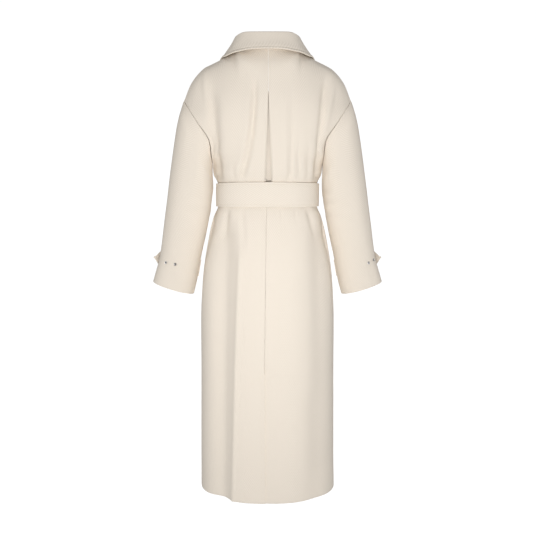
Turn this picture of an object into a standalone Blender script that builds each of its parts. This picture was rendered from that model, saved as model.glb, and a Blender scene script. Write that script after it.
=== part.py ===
"""A long belted trench coat in cream wool, filled out as it is when worn, with nothing inside it.

Metres, +Z up. The origin is between the shoulders, at the base of the neck, where a wearer holds the
coat up. The front faces -Y and the wearer's left is +X. Every cloth piece starts as a flat grid, whose
points are moved to their places on the coat before the grid is given its wall.
"""
import math
from collections import namedtuple

import bmesh
import bpy
from mathutils import Vector

BACK, FRONT = 1, -1
LEFT, RIGHT = 1, -1

# Cloth thicknesses and the gaps between pieces
CLOTH = 0.0022            # wall of one layer of coating cloth
DOUBLE_CLOTH = 0.0032     # belt and cuff tabs: two layers, turned and pressed
COLLAR_CLOTH = 0.0034     # collar: two layers
SEAM_GAP = 0.0004         # between two pieces that are sewn together
POINT_GAP = 0.0016        # at the pointed end of the shoulder seam
LAY_GAP = 0.0005          # between a piece and what lies on it
SEAM_DIP = 0.0010         # the cloth is drawn in this far along a side or shoulder seam,
ARM_DIP = 0.0004          # and this far along the armhole
SEAM_ROW = 0.08           # over this part of a panel's uppermost row
SEAM_MARGIN = 0.018       # and over this share of its width, in a narrow strip of its own
FULLNESS = 0.60           # 0.55 gives an ellipse, more a squarer section

# The coat's sections from the hem to just above the belt: heights at the side, centre back and centre
# front, half the width, and the depth behind and before the side seams
Level = namedtuple("Level", "name z_side z_back z_front width back front")
LEVELS = (
    Level("hem", -1.250, -1.252, -1.250, 0.1905, 0.154, 0.150),
    Level("shin", -1.080, -1.080, -1.080, 0.1890, 0.151, 0.148),
    Level("knee", -0.890, -0.890, -0.890, 0.1870, 0.146, 0.145),
    Level("thigh", -0.710, -0.705, -0.715, 0.1845, 0.139, 0.141),
    Level("seat", -0.620, -0.612, -0.628, 0.1775, 0.132, 0.137),
    Level("hip", -0.545, -0.535, -0.555, 0.1655, 0.121, 0.130),
    Level("high hip", -0.497, -0.486, -0.508, 0.1555, 0.110, 0.121),
    Level("below belt", -0.468, -0.457, -0.479, 0.1465, 0.102, 0.113),
    Level("belt bottom", -0.451, -0.440, -0.462, 0.1375, 0.095, 0.106),
    Level("belt top", -0.378, -0.362, -0.394, 0.1375, 0.095, 0.106),
    Level("above belt", -0.362, -0.341, -0.377, 0.1465, 0.103, 0.113),
)
BELT_BOTTOM, BELT_TOP = 8, 9      # the two levels that the belt lies between

# The armhole from the underarm to the end of the dropped shoulder, round the back and round the front
Spot = namedtuple("Spot", "x y z")
ARMHOLE = {
    BACK: (
        Spot(0.1500, 0.000, -0.335),
        Spot(0.1525, 0.036, -0.303),
        Spot(0.1580, 0.058, -0.258),
        Spot(0.1860, 0.060, -0.215),
        Spot(0.2115, 0.036, -0.178),
        Spot(0.2275, 0.000, -0.157),
    ),
    FRONT: (
        Spot(0.1500, 0.000, -0.335),
        Spot(0.1510, -0.042, -0.303),
        Spot(0.1540, -0.068, -0.255),
        Spot(0.1820, -0.069, -0.208),
        Spot(0.2105, -0.040, -0.174),
        Spot(0.2275, 0.000, -0.157),
    ),
}

# The back and chest above the underarm: where a row meets the armhole (0 to 5 along its spots), its
# point on the centre line, how far it runs straight out from there, and its handle at the armhole
Chest = namedtuple("Chest", "name arm y z reach pull_x pull_y pull_z")
CHEST = {
    BACK: (
        Chest("underarm", 0.0, 0.1095, -0.303, 0.085, 0.000, 0.061, 0.016),
        Chest("low blade", 1.0, 0.1140, -0.262, 0.090, -0.003, 0.046, 0.008),
        Chest("blade", 2.0, 0.1145, -0.212, 0.094, -0.024, 0.038, 0.010),
        Chest("high blade", 3.0, 0.1100, -0.155, 0.096, -0.046, 0.030, 0.024),
        Chest("nape", 4.0, 0.0980, -0.096, 0.090, -0.050, 0.026, 0.044),
    ),
    FRONT: (
        Chest("underarm", 0.0, -0.123, -0.343, 0.085, 0.000, -0.066, -0.006),
        Chest("bust", 1.0, -0.131, -0.300, 0.090, -0.003, -0.048, 0.000),
        Chest("chest", 2.0, -0.130, -0.246, 0.092, -0.022, -0.036, 0.004),
        Chest("high chest", 3.0, -0.122, -0.190, 0.092, -0.046, -0.024, 0.020),
        Chest("collar bone", 4.0, -0.112, -0.140, 0.084, -0.050, -0.020, 0.042),
    ),
}

# The top edge: the shoulder line from the neck to the armhole, and the neckline's centre points
SHOULDER = (
    Spot(0.0760, 0.0, -0.015),
    Spot(0.1000, 0.0, -0.0315),
    Spot(0.1280, 0.0, -0.0475),
    Spot(0.1780, 0.0, -0.0750),
    Spot(0.2055, 0.0, -0.107),
    Spot(0.2275, 0.0, -0.157),
)
NECK_CENTRE = {BACK: Spot(0.0, 0.073, -0.008), FRONT: Spot(0.0, -0.102, -0.094)}
NECK_SHARE = 0.34         # share of a top row that is neckline
# The row just below the top edge, as steps from it at the centre, the neck point and the armhole
TOP_STEP = {
    BACK: (Spot(0.0, 0.014, -0.034), Spot(0.007, 0.034, -0.010), Spot(-0.006, 0.0185, -0.008)),
    FRONT: (Spot(0.0, -0.006, -0.022), Spot(0.005, -0.034, -0.012), Spot(-0.0065, -0.0205, -0.0065)),
}
TOP_ARM = 4.5             # where that row meets the armhole
TOP_JOIN = 0.80           # from this turn on it bends to the armhole
TOP = len(LEVELS) + len(CHEST[BACK]) + 1     # height index of the top edge; the hem's is 0
UNDERARM = len(LEVELS)

# Height indexes of the grid rows, the same on both sides of every seam
ROWS = (0, 0.12, 1, 1.92, 2.03, 2.2, 3, 3.6, 4.2, 5, 5.6, 6.2, 7, 7.5, 8, 9, 9.5, 10, 10.5, 11, 11.5,
        12, 12.5, 13, 13.5, 14, 14.5, 15, 15.5, 16, 16.5, 16.92, 17)
BACK_COLUMNS, FRONT_COLUMNS = 17, 13

# The centre back line wanders a little from the middle of the coat: height and place
CENTRE_LINE = ((-1.26, 0.006), (-0.88, 0.008), (-0.45, 0.003), (-0.36, -0.003), (0.0, -0.002))

# Folds: a hollow (depth above 0) or a ridge (below 0) along a line from its top to its low end
Fold = namedtuple("Fold", "name half x_top z_top x_low z_low wide_top wide_low depth depth_low")
FOLDS = (
    Fold("long hollow", BACK, 0.108, -0.500, 0.119, -1.400, 0.036, 0.021, 0.0120, 0.0040),
    Fold("ridge beside it", BACK, 0.066, -0.560, 0.103, -1.400, 0.015, 0.012, -0.0050, -0.0020),
    Fold("right skirt", BACK, -0.122, -0.480, -0.130, -0.960, 0.024, 0.030, 0.0060, 0.0050),
    Fold("right swell", BACK, -0.060, -0.600, -0.075, -1.400, 0.030, 0.034, -0.0030, -0.0010),
    Fold("blade to waist", BACK, 0.028, -0.090, 0.071, -0.400, 0.011, 0.014, 0.0050, 0.0060),
    Fold("its ridge", BACK, 0.052, -0.150, 0.092, -0.400, 0.012, 0.012, -0.0035, -0.0035),
    Fold("left armhole", BACK, 0.140, -0.165, 0.121, -0.400, 0.010, 0.010, 0.0065, 0.0065),
    Fold("right of pleat", BACK, -0.063, -0.130, -0.061, -0.400, 0.010, 0.010, 0.0050, 0.0055),
    Fold("ridge of it", BACK, -0.041, -0.130, -0.044, -0.400, 0.010, 0.010, -0.0030, -0.0035),
    Fold("right waist", BACK, -0.094, -0.200, -0.093, -0.400, 0.012, 0.012, 0.0035, 0.0045),
    Fold("right armhole", BACK, -0.140, -0.190, -0.132, -0.400, 0.010, 0.010, 0.0060, 0.0060),
    Fold("left hip", BACK, 0.104, -0.425, 0.140, -0.540, 0.010, 0.014, 0.0050, 0.0050),
    Fold("right hip", BACK, -0.106, -0.425, -0.138, -0.530, 0.010, 0.014, 0.0050, 0.0050),
    Fold("below the pleat", BACK, -0.027, -0.425, -0.030, -0.600, 0.010, 0.014, 0.0030, 0.0020),
    Fold("front left skirt", FRONT, 0.120, -0.500, 0.132, -1.400, 0.030, 0.024, 0.0100, 0.0040),
    Fold("front right skirt", FRONT, -0.128, -0.480, -0.140, -1.400, 0.024, 0.026, 0.0090, 0.0040),
    Fold("left bust", FRONT, 0.100, -0.190, 0.090, -0.420, 0.014, 0.012, 0.0050, 0.0050),
    Fold("right bust", FRONT, -0.100, -0.180, -0.092, -0.420, 0.014, 0.012, 0.0050, 0.0050),
    Fold("front left hip", FRONT, 0.104, -0.435, 0.130, -0.570, 0.012, 0.016, 0.0050, 0.0050),
    Fold("front right hip", FRONT, -0.108, -0.435, -0.132, -0.570, 0.012, 0.016, 0.0050, 0.0050),
)
FOLD_FADE = 0.045         # a fold comes in and dies out over this height
BELT_CALM = 0.012         # and over this height beside the belt, which holds the cloth flat
EDGE_CALM = 0.93          # turn from which the folds die out towards the side seam

# Pleat and vent at the centre back
PLEAT_TOP = -0.117
PLEAT_OPEN = 0.0066       # half the pleat's opening where it meets the belt
PLEAT_FADE = 0.20         # turn at which the cloth no longer moves aside for it
UNDERLAY_COLUMNS = 3      # the strip behind the pleat reaches this many of the back's columns each way
UNDERLAY_ROWS = tuple(row for row in ROWS if 8 <= row <= 14.5)
UNDERLAY_SINK = 0.0040    # it hangs this much deeper behind the opening
VENT_LAP = 0.040          # how far the right back reaches under the left one
VENT_FULL, VENT_TOP = 1.92, 2.03       # height indexes where the underlap has its width, and starts
VENT_EASE = 2.2           # and where the right back starts to step in
VENT_STEP = 0.030         # beside the centre line it steps in over this width

# The front edges and, above the belt, the lapels' roll lines: height and distance past the centre
FRONT_EDGE = ((-1.26, 0.082), (-0.60, 0.080), (-0.46, 0.062), (-0.39, 0.036), (-0.30, 0.003),
              (-0.20, -0.034), (-0.12, -0.058), (-0.06, -0.069), (0.02, -0.078))
OVERLAP = 0.0042          # the right front stands out this far where it crosses the left one
OVERLAP_RAMP = 0.034      # and comes up to it over this width,
OVERLAP_TOP = (-0.300, -0.220)    # down from the height where the edges part
# Lapels: height of the inner end of a row, its length, and how much higher its outer end is
Lapel = namedtuple("Lapel", "z width rise")
LAPELS = (Lapel(-0.366, 0.006, 0.000), Lapel(-0.300, 0.042, 0.010), Lapel(-0.220, 0.072, 0.022),
          Lapel(-0.150, 0.092, 0.028), Lapel(-0.076, 0.072, -0.018))
LAPEL_LOW = {RIGHT: -0.366, LEFT: -0.314}    # the left one is covered by the right front below this
LAPEL_LIFT = (0.0022, 0.0030)                # off the front at the roll line and at the outer edge

# Collar sections from the centre back to its front end: neck seam, roll and outer edge
Collar = namedtuple("Collar", "seam roll edge")
COLLAR = (
    Collar(Spot(0.0000, 0.0735, -0.0073), Spot(0.000, 0.0745, 0.0220), Spot(0.000, 0.1080, -0.0165)),
    Collar(Spot(0.0275, 0.0686, -0.0077), Spot(0.032, 0.0700, 0.0220), Spot(0.046, 0.1020, -0.0185)),
    Collar(Spot(0.0540, 0.0520, -0.0090), Spot(0.059, 0.0540, 0.0208), Spot(0.086, 0.0770, -0.0260)),
    Collar(Spot(0.0700, 0.0300, -0.0108), Spot(0.076, 0.0300, 0.0120), Spot(0.113, 0.0400, -0.0370)),
    Collar(Spot(0.0760, 0.0000, -0.0132), Spot(0.080, -0.0030, 0.0040), Spot(0.1245, -0.0060, -0.0410)),
    Collar(Spot(0.0740, -0.0240, -0.0270), Spot(0.079, -0.0270, -0.0130), Spot(0.130, -0.0320, -0.0530)),
    Collar(Spot(0.0675, -0.0470, -0.0470), Spot(0.075, -0.0510, -0.0370), Spot(0.124, -0.0565, -0.0700)),
)
COLLAR_STATIONS = 30
STAND_STEPS, ROLL_STEPS, FALL_STEPS = 2, 4, 4
ROLL_RADIUS = 0.0045
ROLL_OPEN = 0.35          # the roll stops this far, in radians, before it points straight down
FALL_BOW = -0.0012        # the fall hangs in a slight hollow between roll and edge

# Belt, its free end and its buckle
BELT_EDGES = (0.07, 0.93)        # shares of the height between the two belt levels
BELT_GAP = 0.0012                # it lies this far off the cloth
BELT_CLEAR = (0.078, 0.115)      # the belt steps down past the right front's edge between these
END_FROM, END_TO = -4, 11        # the free end's columns, counted along the belt's from the centre
END_TIP = (1.0, 0.62, 0.04)      # its width at the last columns
BUCKLE_HALF_W, BUCKLE_SIDE = 0.030, 0.009
BUCKLE_RISE = (-0.20, 1.20)      # outer edges, in the same shares of height as BELT_EDGES
BUCKLE_WINDOW = (-0.07, 1.07)
BUCKLE_WALL = 0.0040
BUCKLE_CELLS = 5          # its grid each way; the window is all but the outermost cells

# Sleeve rings from just below the armhole to the cuff: inner and outer points, half the depth, and how
# far forward the ring's middle is
Ring = namedtuple("Ring", "name x_in z_in x_out z_out depth ahead")
RINGS = (
    Ring("cap", 0.1505, -0.352, 0.2370, -0.187, 0.0655, 0.001),
    Ring("upper arm", 0.1495, -0.372, 0.2455, -0.220, 0.0675, 0.003),
    Ring("arm", 0.1485, -0.394, 0.2530, -0.260, 0.0670, 0.006),
    Ring("above elbow", 0.1495, -0.420, 0.2600, -0.302, 0.0650, 0.010),
    Ring("elbow", 0.1540, -0.450, 0.2695, -0.367, 0.0620, 0.014),
    Ring("below elbow", 0.1630, -0.488, 0.2790, -0.434, 0.0590, 0.018),
    Ring("forearm", 0.1725, -0.532, 0.2885, -0.500, 0.0560, 0.023),
    Ring("above tab", 0.1835, -0.580, 0.2975, -0.566, 0.0530, 0.028),
    Ring("tab", 0.1920, -0.624, 0.3035, -0.600, 0.0500, 0.031),
    Ring("below tab", 0.1985, -0.660, 0.3115, -0.626, 0.0500, 0.034),
    Ring("cuff", 0.2080, -0.697, 0.3225, -0.6625, 0.0500, 0.038),
)
CUFF = len(RINGS)
ARM_ROWS = tuple(row for row in ROWS if row >= UNDERARM)
SLEEVE_STEP = 0.0006      # the sleeve starts this far from the armhole's edge
SLEEVE_ROWS = (0, 0.5, 1, 2, 3, 4, 5, 5.5, 6.2, 7, 7.8, 8.55, 9.15, 9.75, 10.3, 10.88, 11)
SLEEVE_COLUMNS = 2 * (len(ARM_ROWS) - 1)
SleeveFold = namedtuple("SleeveFold", "side around along wide_around wide_along depth")
SLEEVE_FOLDS = (
    SleeveFold(LEFT, 0.10, 3.0, 0.10, 0.9, 0.0060),
    SleeveFold(LEFT, 0.92, 4.4, 0.10, 0.7, 0.0070),
    SleeveFold(LEFT, 0.78, 5.6, 0.16, 0.5, 0.0045),
    SleeveFold(RIGHT, 0.08, 3.4, 0.10, 0.9, 0.0060),
    SleeveFold(RIGHT, 0.90, 4.9, 0.11, 0.7, 0.0065),
    SleeveFold(RIGHT, 0.76, 6.2, 0.16, 0.5, 0.0045),
)

# Cuff tabs, sewn on at the front of the sleeve, and the eyelets behind them
TAB_ROWS = (8.55, 9.15, 9.75)  # its edges and middle along the sleeve's rings
TAB_FROM, TAB_LEAVES = 25, 18  # the sleeve's columns where it is sewn on, and where it leaves the sleeve
TAB_FREE = 0.057          # length of the rest
TAB_POINT = 0.017
TAB_BLUNT = 0.05          # share of its width that is left at the very point
TAB_FREE_COLUMNS = 6
EYELETS = {LEFT: ((0.356, 8.92), (0.275, 8.86)), RIGHT: ((0.415, 8.86), (0.350, 8.94))}
EYELET_RING, EYELET_WIRE, EYELET_FLAT = 0.0031, 0.0012, 0.6
EYELET_GAP = 0.0009

TURN_STEP, ROW_STEP = 0.01, 0.05  # steps along turns and rows over which slopes are measured
SAME_PLACE = 0.00005      # points nearer than this are one point
SHARP_ANGLE = 40          # degrees between faces that meet at a sharp edge

CREAM = (0.84, 0.76, 0.65)
SILVER = (0.62, 0.61, 0.60)


def clear_scene():
    for thing in list(bpy.data.objects):
        bpy.data.objects.remove(thing, do_unlink=True)


def smooth(value):
    value = min(1.0, max(0.0, value))
    return value * value * (3.0 - 2.0 * value)


def lookup(table, place):
    """The value at a place in a table of (place, value) rows."""
    if place <= table[0][0]:
        return table[0][1]
    for (low, first), (high, second) in zip(table, table[1:]):
        if place <= high:
            return first + (second - first) * (place - low) / (high - low)
    return table[-1][1]


def bisect(value_at, target, low, high):
    """The place between low and high where a rising function reaches the target."""
    for _ in range(30):
        middle = 0.5 * (low + high)
        if value_at(middle) < target:
            low = middle
        else:
            high = middle
    return 0.5 * (low + high)


def curve_through(points, place):
    """A smooth curve through the points, at place 0 to len(points) - 1."""
    last = len(points) - 1
    index = min(last - 1, max(0, int(place)))
    share = place - index
    start, end = points[index], points[index + 1]
    span = max((end - start).length, 1e-6)
    slopes = []
    for at in (index, index + 1):
        if at in (0, last):
            slopes.append(end - start)
            continue
        before, after = points[at] - points[at - 1], points[at + 1] - points[at]
        short, long = max(before.length, 1e-6), max(after.length, 1e-6)
        slope = (before * (long / short) + after * (short / long)) / (short + long)
        slopes.append(slope * span)
    square, cube = share * share, share ** 3
    return (start * (2 * cube - 3 * square + 1) + slopes[0] * (cube - 2 * square + share)
            + end * (3 * square - 2 * cube) + slopes[1] * (cube - square))


def bezier(start, first, second, end, share):
    rest = 1.0 - share
    return (start * rest ** 3 + first * (3 * rest * rest * share)
            + second * (3 * rest * share * share) + end * share ** 3)


# The coat's form, worked out on the wearer's left and mirrored to the right

def armhole(half, place):
    return curve_through([Vector(spot) for spot in ARMHOLE[half]], place)


def top_row(half, turn):
    """Neckline from the centre to the neck point, then the shoulder line out to the armhole."""
    if turn >= NECK_SHARE:
        along = (turn - NECK_SHARE) / (1.0 - NECK_SHARE) * (len(SHOULDER) - 1)
        return curve_through([Vector(spot) for spot in SHOULDER], along)
    centre, point = Vector(NECK_CENTRE[half]), Vector(SHOULDER[0])
    angle = 0.5 * math.pi * turn / NECK_SHARE
    z = centre.z + (point.z - centre.z) * (1.0 - math.cos(angle))
    return Vector((point.x * math.sin(angle), centre.y * math.cos(angle), z))


def row_point(half, index, turn):
    """A point on one cross row of the coat, from the centre line (turn 0) to the side (turn 1)."""
    if index < UNDERARM:
        level = LEVELS[index]
        depth, z = (level.back, level.z_back) if half == BACK else (-level.front, level.z_front)
        near = level.z_side + (z - level.z_side) * FULLNESS
        side = Vector((level.width, 0, level.z_side))
        return bezier(Vector((0, depth, z)), Vector((level.width * FULLNESS, depth, z)),
                      Vector((level.width, depth * FULLNESS, near)), side, turn)
    index -= UNDERARM
    if index < len(CHEST[half]):
        row = CHEST[half][index]
        end = armhole(half, row.arm)
        pull = Vector((row.pull_x, row.pull_y, row.pull_z))
        return bezier(Vector((0, row.y, row.z)), Vector((row.reach, row.y, row.z)), end + pull, end, turn)
    if index > len(CHEST[half]):
        return top_row(half, turn)
    centre, neck, arm = [Vector(step) for step in TOP_STEP[half]]
    if turn < NECK_SHARE:
        step = centre.lerp(neck, smooth(turn / NECK_SHARE))
    else:
        step = neck.lerp(arm, smooth((turn - NECK_SHARE) / (1.0 - NECK_SHARE)))
    point = top_row(half, turn) + step
    return point.lerp(armhole(half, TOP_ARM), (max(0.0, turn - TOP_JOIN) / (1.0 - TOP_JOIN)) ** 2)


def bare_point(half, turn, height):
    """The coat's form without folds, at a height index from 0, the hem, to TOP.

    A turn below 0 is past the centre line, on the wearer's right.
    """
    index = min(TOP - 1, int(height))
    first, last = max(0, index - 1), min(TOP, index + 2)
    point = curve_through([row_point(half, at, abs(turn)) for at in range(first, last + 1)], height - first)
    return Vector((math.copysign(point.x, turn), half * max(0.0, half * point.y), point.z))


def outward(half, turn, height):
    """The direction out of the cloth."""
    across = bare_point(half, min(1.0, turn + TURN_STEP), height) - bare_point(half, turn - TURN_STEP, height)
    above = bare_point(half, turn, min(TOP, height + ROW_STEP))
    upward = above - bare_point(half, turn, max(0, height - ROW_STEP))
    return (upward.cross(across) * half).normalized()


def belt_calm(half, point):
    """0 where the belt holds the cloth, rising to 1 clear of it."""
    low, high = LEVELS[BELT_BOTTOM], LEVELS[BELT_TOP]
    back = 0.5 + 0.5 * point.y / (low.back if half == BACK else low.front)
    bottom = low.z_front + (low.z_back - low.z_front) * back
    top = high.z_front + (high.z_back - high.z_front) * back
    away = max(bottom - point.z, point.z - top, 0.0)
    return smooth(away / BELT_CALM)


def fold_depth(half, side, point):
    """How far the cloth is drawn in by the folds at a point of the bare form."""
    x, z = side * point.x, point.z
    depth = 0.0
    for fold in FOLDS:
        if fold.half != half or not fold.z_low - FOLD_FADE < z < fold.z_top + FOLD_FADE:
            continue
        share = min(1.0, max(0.0, (fold.z_top - z) / (fold.z_top - fold.z_low)))
        centre = fold.x_top + (fold.x_low - fold.x_top) * share
        wide = fold.wide_top + (fold.wide_low - fold.wide_top) * share
        deep = fold.depth + (fold.depth_low - fold.depth) * share
        ends = smooth((fold.z_top + FOLD_FADE - z) / (2 * FOLD_FADE))
        ends *= smooth((z - fold.z_low + FOLD_FADE) / (2 * FOLD_FADE))
        depth += deep * ends * math.exp(-((x - centre) / wide) ** 2)
    return depth * belt_calm(half, point)


def seam_dip(half, turn, height):
    """How far, and which way, the cloth is drawn in beside the side, armhole and shoulder seams."""
    beside = max(abs(turn) - 1.0 + SEAM_MARGIN, 0.0) / SEAM_MARGIN
    below = max(height - TOP + SEAM_ROW, 0.0) / SEAM_ROW
    way = outward(half, turn, height)
    if UNDERARM < height <= TOP - SEAM_ROW:
        return way * (-ARM_DIP * smooth(beside))
    way = (way + outward(-half, turn, height)).normalized()
    return way * (-SEAM_DIP * smooth(max(beside, below)))


def coat_point(half, side, turn, height, out=0.0):
    """A point of the cloth's outer face, moved out by a distance."""
    point = bare_point(half, turn, height)
    folds = fold_depth(half, side, point) * (1.0 - smooth((turn - EDGE_CALM) / (1.0 - EDGE_CALM)))
    point += outward(half, turn, height) * (out - folds)
    if abs(turn) > 1.0 - SEAM_MARGIN or height > TOP - SEAM_ROW:
        point += seam_dip(half, turn, height)
    middle = lookup(CENTRE_LINE, point.z) if half == BACK else 0.0
    shift = middle * (1.0 - min(1.0, abs(turn))) ** 2
    at_point = smooth((turn - TOP_JOIN) / (1.0 - TOP_JOIN)) * smooth((height - TOP + SEAM_ROW) / SEAM_ROW)
    gap = SEAM_GAP + (POINT_GAP - SEAM_GAP) * at_point
    return Vector((side * point.x + shift, point.y + half * gap / 2, point.z))


def turn_at(half, height, x):
    """The turn at which a row of the coat passes a distance from the middle."""
    return bisect(lambda turn: bare_point(half, turn, height).x, x, -0.9, 0.9)


def face_at(half, x, z):
    """Turn and height index of the point with this distance from the middle and this height."""
    turn, height = 0.3, 0.0
    for _ in range(6):
        height = bisect(lambda at: bare_point(half, turn, at).z, z, 0.0, float(TOP))
        turn = turn_at(half, height, x)
    return turn, height


def spread(share, count, last=True):
    """Grid columns evenly spaced, with a narrow one beside each edge that is sewn."""
    index = round(share * count)
    if index == 0 or index == count:
        return share
    high = 1.0 - SEAM_MARGIN if last else 1.0
    steps = count - 2 if last else count - 1
    return SEAM_MARGIN + (high - SEAM_MARGIN) * (index - 1) / steps


# Making the pieces

def make_material(name, colour, roughness, metallic):
    material = bpy.data.materials.new(name)
    material.use_nodes = True
    shader = material.node_tree.nodes["Principled BSDF"]
    shader.inputs["Base Color"].default_value = (*colour, 1.0)
    shader.inputs["Roughness"].default_value = roughness
    shader.inputs["Metallic"].default_value = metallic
    return material


def add_object(name, shape, collection, colour=CREAM, roughness=0.9, metallic=0.0):
    mesh = bpy.data.meshes.new(name)
    shape.to_mesh(mesh)
    shape.free()
    mesh.shade_smooth()
    mesh.set_sharp_from_angle(angle=math.radians(SHARP_ANGLE))
    mesh.materials.append(make_material(name, colour, roughness, metallic))
    thing = bpy.data.objects.new(name, mesh)
    collection.objects.link(thing)
    return thing


def cloth_piece(name, collection, columns, rows, place, wall=CLOTH, flip=False, outside=False, tube=False,
                window=None):
    """A flat grid of cloth moved point by point to its place on the coat, then given its wall.

    The grid is the cloth's outer face, unless outside says that the wall is laid on it. The window
    is a test for the faces that are cut out.
    """
    grid = bmesh.new()
    bmesh.ops.create_grid(grid, x_segments=columns, y_segments=rows, size=0.5)
    if window:
        cut = [face for face in grid.faces if window(face.calc_center_median())]
        bmesh.ops.delete(grid, geom=cut, context="FACES")
    for vert in grid.verts:
        vert.co = place(round((vert.co.x + 0.5) * columns), round((vert.co.y + 0.5) * rows))
    if tube:
        bmesh.ops.remove_doubles(grid, verts=grid.verts, dist=SAME_PLACE)
    if flip:
        bmesh.ops.reverse_faces(grid, faces=grid.faces)
    piece = add_object(name, grid, collection)
    thickness = piece.modifiers.new("wall", "SOLIDIFY")
    thickness.thickness = wall
    thickness.offset = 1.0 if outside else -1.0
    return piece


def back_panel(name, side, collection):
    """One half of the back, from the centre seam to the side; the right one has the vent's underlap."""
    belt_low, belt_high = LEVELS[BELT_BOTTOM].z_back, LEVELS[BELT_TOP].z_back

    def place(column, row):
        height = ROWS[row]
        across = spread(column / BACK_COLUMNS, BACK_COLUMNS)
        z = bare_point(BACK, 0.0, height).z
        lap = smooth((VENT_TOP - height) / (VENT_TOP - VENT_FULL)) if side == RIGHT else 0.0
        start = -turn_at(BACK, height, VENT_LAP) * lap
        turn = start + (1.0 - start) * across
        point = coat_point(BACK, side, turn, height)
        if side == RIGHT:
            low = smooth((VENT_EASE - height) / (VENT_EASE - VENT_TOP))
            near = smooth((point.x - lookup(CENTRE_LINE, z) + VENT_STEP) / (0.9 * VENT_STEP))
            point.y -= (CLOTH + LAY_GAP) * low * near
        down = min(1.0, max(0.0, (PLEAT_TOP - z) / (PLEAT_TOP - belt_high)))
        closing = smooth((z - belt_low) / (belt_high - belt_low))
        aside = PLEAT_OPEN * down * closing * (1.0 - smooth(abs(turn) / PLEAT_FADE))
        point.x += side * (aside + SEAM_GAP / 2)
        return point

    cloth_piece(name, collection, BACK_COLUMNS, len(ROWS) - 1, place, flip=side == LEFT)


def pleat_underlay(name, collection):
    """The strip that closes the open pleat from behind, from the shoulder blades to under the belt."""
    def place(column, row):
        column -= UNDERLAY_COLUMNS
        side = LEFT if column >= 0 else RIGHT
        turn = spread(abs(column) / BACK_COLUMNS, BACK_COLUMNS)
        sink = UNDERLAY_SINK * (1.0 - abs(column) / UNDERLAY_COLUMNS)
        return coat_point(BACK, side, turn, UNDERLAY_ROWS[row], -CLOTH - LAY_GAP - sink)

    cloth_piece(name, collection, 2 * UNDERLAY_COLUMNS, len(UNDERLAY_ROWS) - 1, place, flip=True)


def lift_over(x, z):
    """How far the right front stands out to cross the left one, by its distance along X and its height."""
    low, high = OVERLAP_TOP
    crossed = smooth((high - z) / (high - low))
    return OVERLAP * crossed * smooth((x + FRONT_EDGE[0][1] + OVERLAP_RAMP) / OVERLAP_RAMP)


def front_point(side, turn, height, out=0.0):
    bare = bare_point(FRONT, turn, height)
    lift = lift_over(-bare.x, bare.z) if side == RIGHT else 0.0
    return coat_point(FRONT, side, turn, height, out + lift)


def front_turn(height):
    """Where the front edge, or above the belt the lapel's roll line, crosses a row."""
    turn = 0.0
    for _ in range(5):
        z = bare_point(FRONT, turn, height).z
        turn = turn_at(FRONT, height, -lookup(FRONT_EDGE, z))
    return turn


def front_panel(name, side, collection):
    edges = [front_turn(height) for height in ROWS]

    def place(column, row):
        across = spread(column / FRONT_COLUMNS, FRONT_COLUMNS, last=False)
        return front_point(side, 1.0 + (edges[row] - 1.0) * across, ROWS[row])

    cloth_piece(name, collection, FRONT_COLUMNS, len(ROWS) - 1, place, flip=side == LEFT)


def lapel(name, side, collection, columns=5, rows=10):
    """The lapel, turned back over its front from the roll line."""
    widths = [(row.z, row.width) for row in LAPELS]
    rises = [(row.z, row.rise) for row in LAPELS]

    def place(column, row):
        z = LAPEL_LOW[side] + (LAPELS[-1].z - LAPEL_LOW[side]) * row / rows
        edge = lookup(FRONT_EDGE, z)
        outer = lookup(widths, z) - edge
        inner = LAY_GAP - edge
        if side == LEFT:
            inner = max(inner, edge + OVERLAP)
        share = column / columns
        turn, height = face_at(FRONT, inner + (outer - inner) * share, z + lookup(rises, z) * share)
        lift = LAPEL_LIFT[0] + (LAPEL_LIFT[1] - LAPEL_LIFT[0]) * share
        return front_point(side, turn, height, lift)

    cloth_piece(name, collection, columns, rows, place, flip=side == RIGHT, outside=True)


def collar(name, collection):
    """Stand, roll and fall in one strip round the neck."""
    steps = STAND_STEPS + ROLL_STEPS + FALL_STEPS

    def place(column, row):
        across = 2.0 * column / COLLAR_STATIONS - 1.0
        at = abs(across) * (len(COLLAR) - 1)
        seam, roll, edge = (curve_through([Vector(getattr(section, part)) for section in COLLAR], at)
                            for part in Collar._fields)
        out = Vector((edge.x - seam.x, edge.y - seam.y, 0)).normalized()
        up = Vector((0, 0, 1))
        crown = roll + out * ROLL_RADIUS
        turned = (math.pi - ROLL_OPEN) * min(1.0, max(0.0, (row - STAND_STEPS) / ROLL_STEPS))
        point = crown + (up * math.sin(turned) - out * math.cos(turned)) * ROLL_RADIUS
        if row < STAND_STEPS:
            point = seam.lerp(roll, row / STAND_STEPS)
        if row > STAND_STEPS + ROLL_STEPS:
            share = (row - STAND_STEPS - ROLL_STEPS) / FALL_STEPS
            point = point.lerp(edge, share) + (out + up) * (FALL_BOW * math.sin(math.pi * share))
        return Vector((math.copysign(point.x, across), point.y, point.z))

    cloth_piece(name, collection, COLLAR_STATIONS, steps, place, wall=COLLAR_CLOTH)


def waist_point(half, side, turn, rise, out):
    """A point on the straight band round the waist, at a share of the height between its two levels."""
    low = row_point(half, BELT_BOTTOM, abs(turn))
    high = row_point(half, BELT_TOP, abs(turn))
    point = low.lerp(high, rise) + outward(half, abs(turn), 0.5 * (BELT_BOTTOM + BELT_TOP)) * out
    return Vector((side * math.copysign(point.x, turn), point.y, point.z))


def belt_lift(half, x):
    """How far the belt stands out over the crossed fronts, by the distance along X."""
    if half == BACK:
        return 0.0
    clear, bare = BELT_CLEAR
    return lift_over(x, LEVELS[BELT_TOP].z_front) * (1.0 - smooth((x - clear) / (bare - clear)))


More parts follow.
